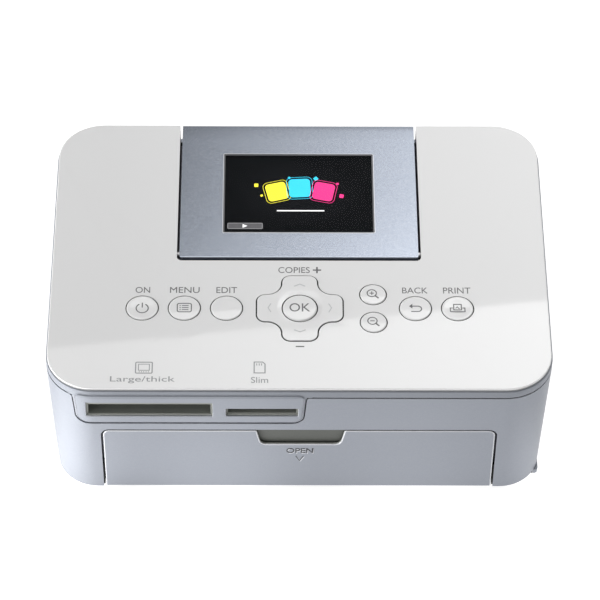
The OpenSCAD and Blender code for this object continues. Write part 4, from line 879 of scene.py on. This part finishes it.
def drawStartScreen():
    look = startScreen
    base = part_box("lcd_panel")[1].z / mm + look["lift"]

    def tile(x, y, size, tilt, ring=False):
        def draw(shape):
            turn = math.radians(tilt)

            def spin(points):
                return [(x + a * math.cos(turn) - b * math.sin(turn),
                         y + (a * math.sin(turn) + b * math.cos(turn)) * look["tall"]) for a, b in points]

            half = size / 2
            addFill(shape, spin(roundedBox(-half, half, -half, half, size * look["corner"])))
            if ring:
                gap, corner, line = look["ring"]
                half += gap
                addLine(shape, spin(roundedBox(-half, half, -half, half, size * corner)), line, True)
        return draw

    def lit(name, draw, finish, lift=0.0):
        printed(name, "screen", draw, (0, 0, base + lift), thick=look["thick"], finish=finish)

    for i, (x, y, size, tilt, colour) in enumerate(look["tiles"]):
        lit("start_tile_" + colour, tile(x, y, size, tilt, True), colour, look["layer"] * i)
    for i, (x, y, size, colour) in enumerate(look["chips"]):
        lit("start_chip_%d" % i, tile(x, y, size, look["chipTurn"] * i), colour)
    x0, x1, y, w = look["bar"]
    lit("start_bar", lambda s: addLine(s, [(x0, y), (x1, y)], w), "paper")
    outline = roundedBox(*look["key"], look["keyCorner"])
    lit("start_key", lambda s: addFill(s, outline), "keyGrey")
    lit("start_key_line", lambda s: addLine(s, outline, look["keyLine"], True), "keyLine", look["layer"])
    mx, my, r = look["mark"]
    lit("start_mark", lambda s: addFill(s, [(mx - r, my - r), (mx + r, my), (mx - r, my + r)]), "paper", look["layer"])


for name, colour in litColours.items():
    finishes[name] = makeLit(name, colour)
drawStartScreen()
print("start screen drawn")


# Floor, lights and camera, in metres.

stage = {
    "floor": (0.30, 0.30, 0.30), "floorShade": 0.995, "cloud": 3.0, "half": 4.0, "glow": 0.91, "strength": 8.0,
    "pools": [(-0.115, -0.09, 0.06, 3.8), (-0.03, -0.095, 0.045, 1.1), (0.04, -0.095, 0.045, 0.6),
              (0.10, -0.075, 0.03, 1.2), (0.112, -0.045, 0.035, 0.3)],
    "world": (1.0, 1.0, 1.0), "worldStrength": 0.30,
}


def addSheet(name, corners, z, finish):
    mesh = bpy.data.meshes.new(name)
    shape = bmesh.new()
    shape.faces.new([shape.verts.new((x, y, z)) for x, y in corners])
    shape.to_mesh(mesh)
    shape.free()
    mesh.materials.append(finish.material)
    sheet = bpy.data.objects.new(name, mesh)
    scene.collection.objects.link(sheet)


def makeStage():
    look = stage
    finish = Finish("floor", Roughness=0.9, Specular_IOR_Level=0.1, Emission_Strength=look["strength"])
    x, y, z = finish.axes()
    glow = look["glow"]
    for px, py, reach, gain in look["pools"]:  # brighter pools of light before the lower front edge
        near = (1.0 - ((x - px) * (x - px) + (y - py) * (y - py)) / (reach * reach)).clamp()
        glow = near * near * gain + glow
    finish.set("Emission_Color", glow / look["strength"])
    cloud = finish.noise(look["cloud"], 2.0)
    finish.set("Base_Color", finish.blendOf(cloud, look["floor"], scaled(look["floor"], look["floorShade"])))
    half = look["half"]
    addSheet("floor", [(-half, -half), (half, -half), (half, half), (-half, half)], 0, finish)
    world = bpy.data.worlds.new("world")
    world.use_nodes = True
    back = world.node_tree.nodes["Background"]
    back.inputs[0].default_value = (*look["world"], 1)
    back.inputs[1].default_value = look["worldStrength"]
    scene.world = world


softPanel = {
    "x": (-0.3, 0.3), "y": (0.22, 1.0), "z": 0.51, "edge": 0.3525, "slope": 0.13, "dim": 0.1, "rise": 1.75,
    "left": -0.10, "run": 0.26, "nearGain": 1.67, "nearLift": 1.2, "strength": 4.0,
}


def makeSoftPanel():  # a glowing panel above and behind that the glossy plate mirrors, with a slanted edge
    look = softPanel
    finish = Finish("softPanel", Base_Color=(0, 0, 0), Specular_IOR_Level=0.0, Emission_Strength=look["strength"])
    x, y, z = finish.axes()
    far = ((x - look["left"]) / look["run"]).clamp() * look["rise"] + look["dim"]
    near = far * look["nearGain"] + look["nearLift"]
    front = y < x * look["slope"] + look["edge"]
    finish.set("Emission_Color", (far + (near - far) * front) / look["strength"])
    x0, x1 = look["x"]
    y0, y1 = look["y"]
    addSheet("softPanel", [(x0, y0), (x0, y1), (x1, y1), (x1, y0)], look["z"], finish)


lamps = {  # a lamp with no aim shines straight down
    "ceiling": {"at": (0.0, 0.13, 0.81), "size": (1.0, 0.7), "power": 2.95},
    "left": {"at": (-0.50, -0.16, 0.085), "size": (0.7, 0.16), "aim": (-0.07, -0.05, 0.03), "power": 2.9},
}


def makeLamps():
    for name, look in lamps.items():
        light = bpy.data.lights.new(name, "AREA")
        light.shape = "RECTANGLE"
        light.size, light.size_y = look["size"]
        light.energy = look["power"]
        lamp = bpy.data.objects.new(name, light)
        lamp.location = look["at"]
        if "aim" in look:
            way = Vector(look["aim"]) - Vector(look["at"])
            lamp.rotation_euler = way.to_track_quat("-Z", "Y").to_euler()
        scene.collection.objects.link(lamp)


view = {  # the aim and the distance in millimetres, the focal length in pixels of the picture
    "elevation": 48.6, "distance": 1134.727, "aim": (0.28634, -25.65421, 60.5), "yaw": 0.0132737, "roll": 0.0120518,
    "focal": 3179.751, "picture": 600, "sensor": 36, "clip": (0.05, 20),
}


def makeCamera():
    look = view
    e, yaw, roll = math.radians(look["elevation"]), look["yaw"], look["roll"]
    level = Vector((math.sin(yaw), math.cos(yaw), 0))
    right = Vector((math.cos(yaw), -math.sin(yaw), 0))
    forward = level * math.cos(e) - Vector((0, 0, math.sin(e)))
    up = level * math.sin(e) + Vector((0, 0, math.cos(e)))
    spot = Vector(look["aim"]) - forward * look["distance"]
    tiltedRight = right * math.cos(roll) + up * math.sin(roll)
    tiltedUp = up * math.cos(roll) - right * math.sin(roll)
    lens = bpy.data.cameras.new("camera")
    lens.sensor_width = look["sensor"]
    lens.lens = look["focal"] * look["sensor"] / look["picture"]
    lens.clip_start, lens.clip_end = look["clip"]
    camera = bpy.data.objects.new("camera", lens)
    turn = Matrix((tiltedRight, tiltedUp, -forward)).transposed().to_4x4()
    camera.matrix_world = Matrix.Translation(spot * mm) @ turn
    scene.collection.objects.link(camera)
    scene.camera = camera


makeStage()
makeSoftPanel()
makeLamps()
makeCamera()
scene.view_settings.view_transform = "Standard"
print("stage, lights and camera set")
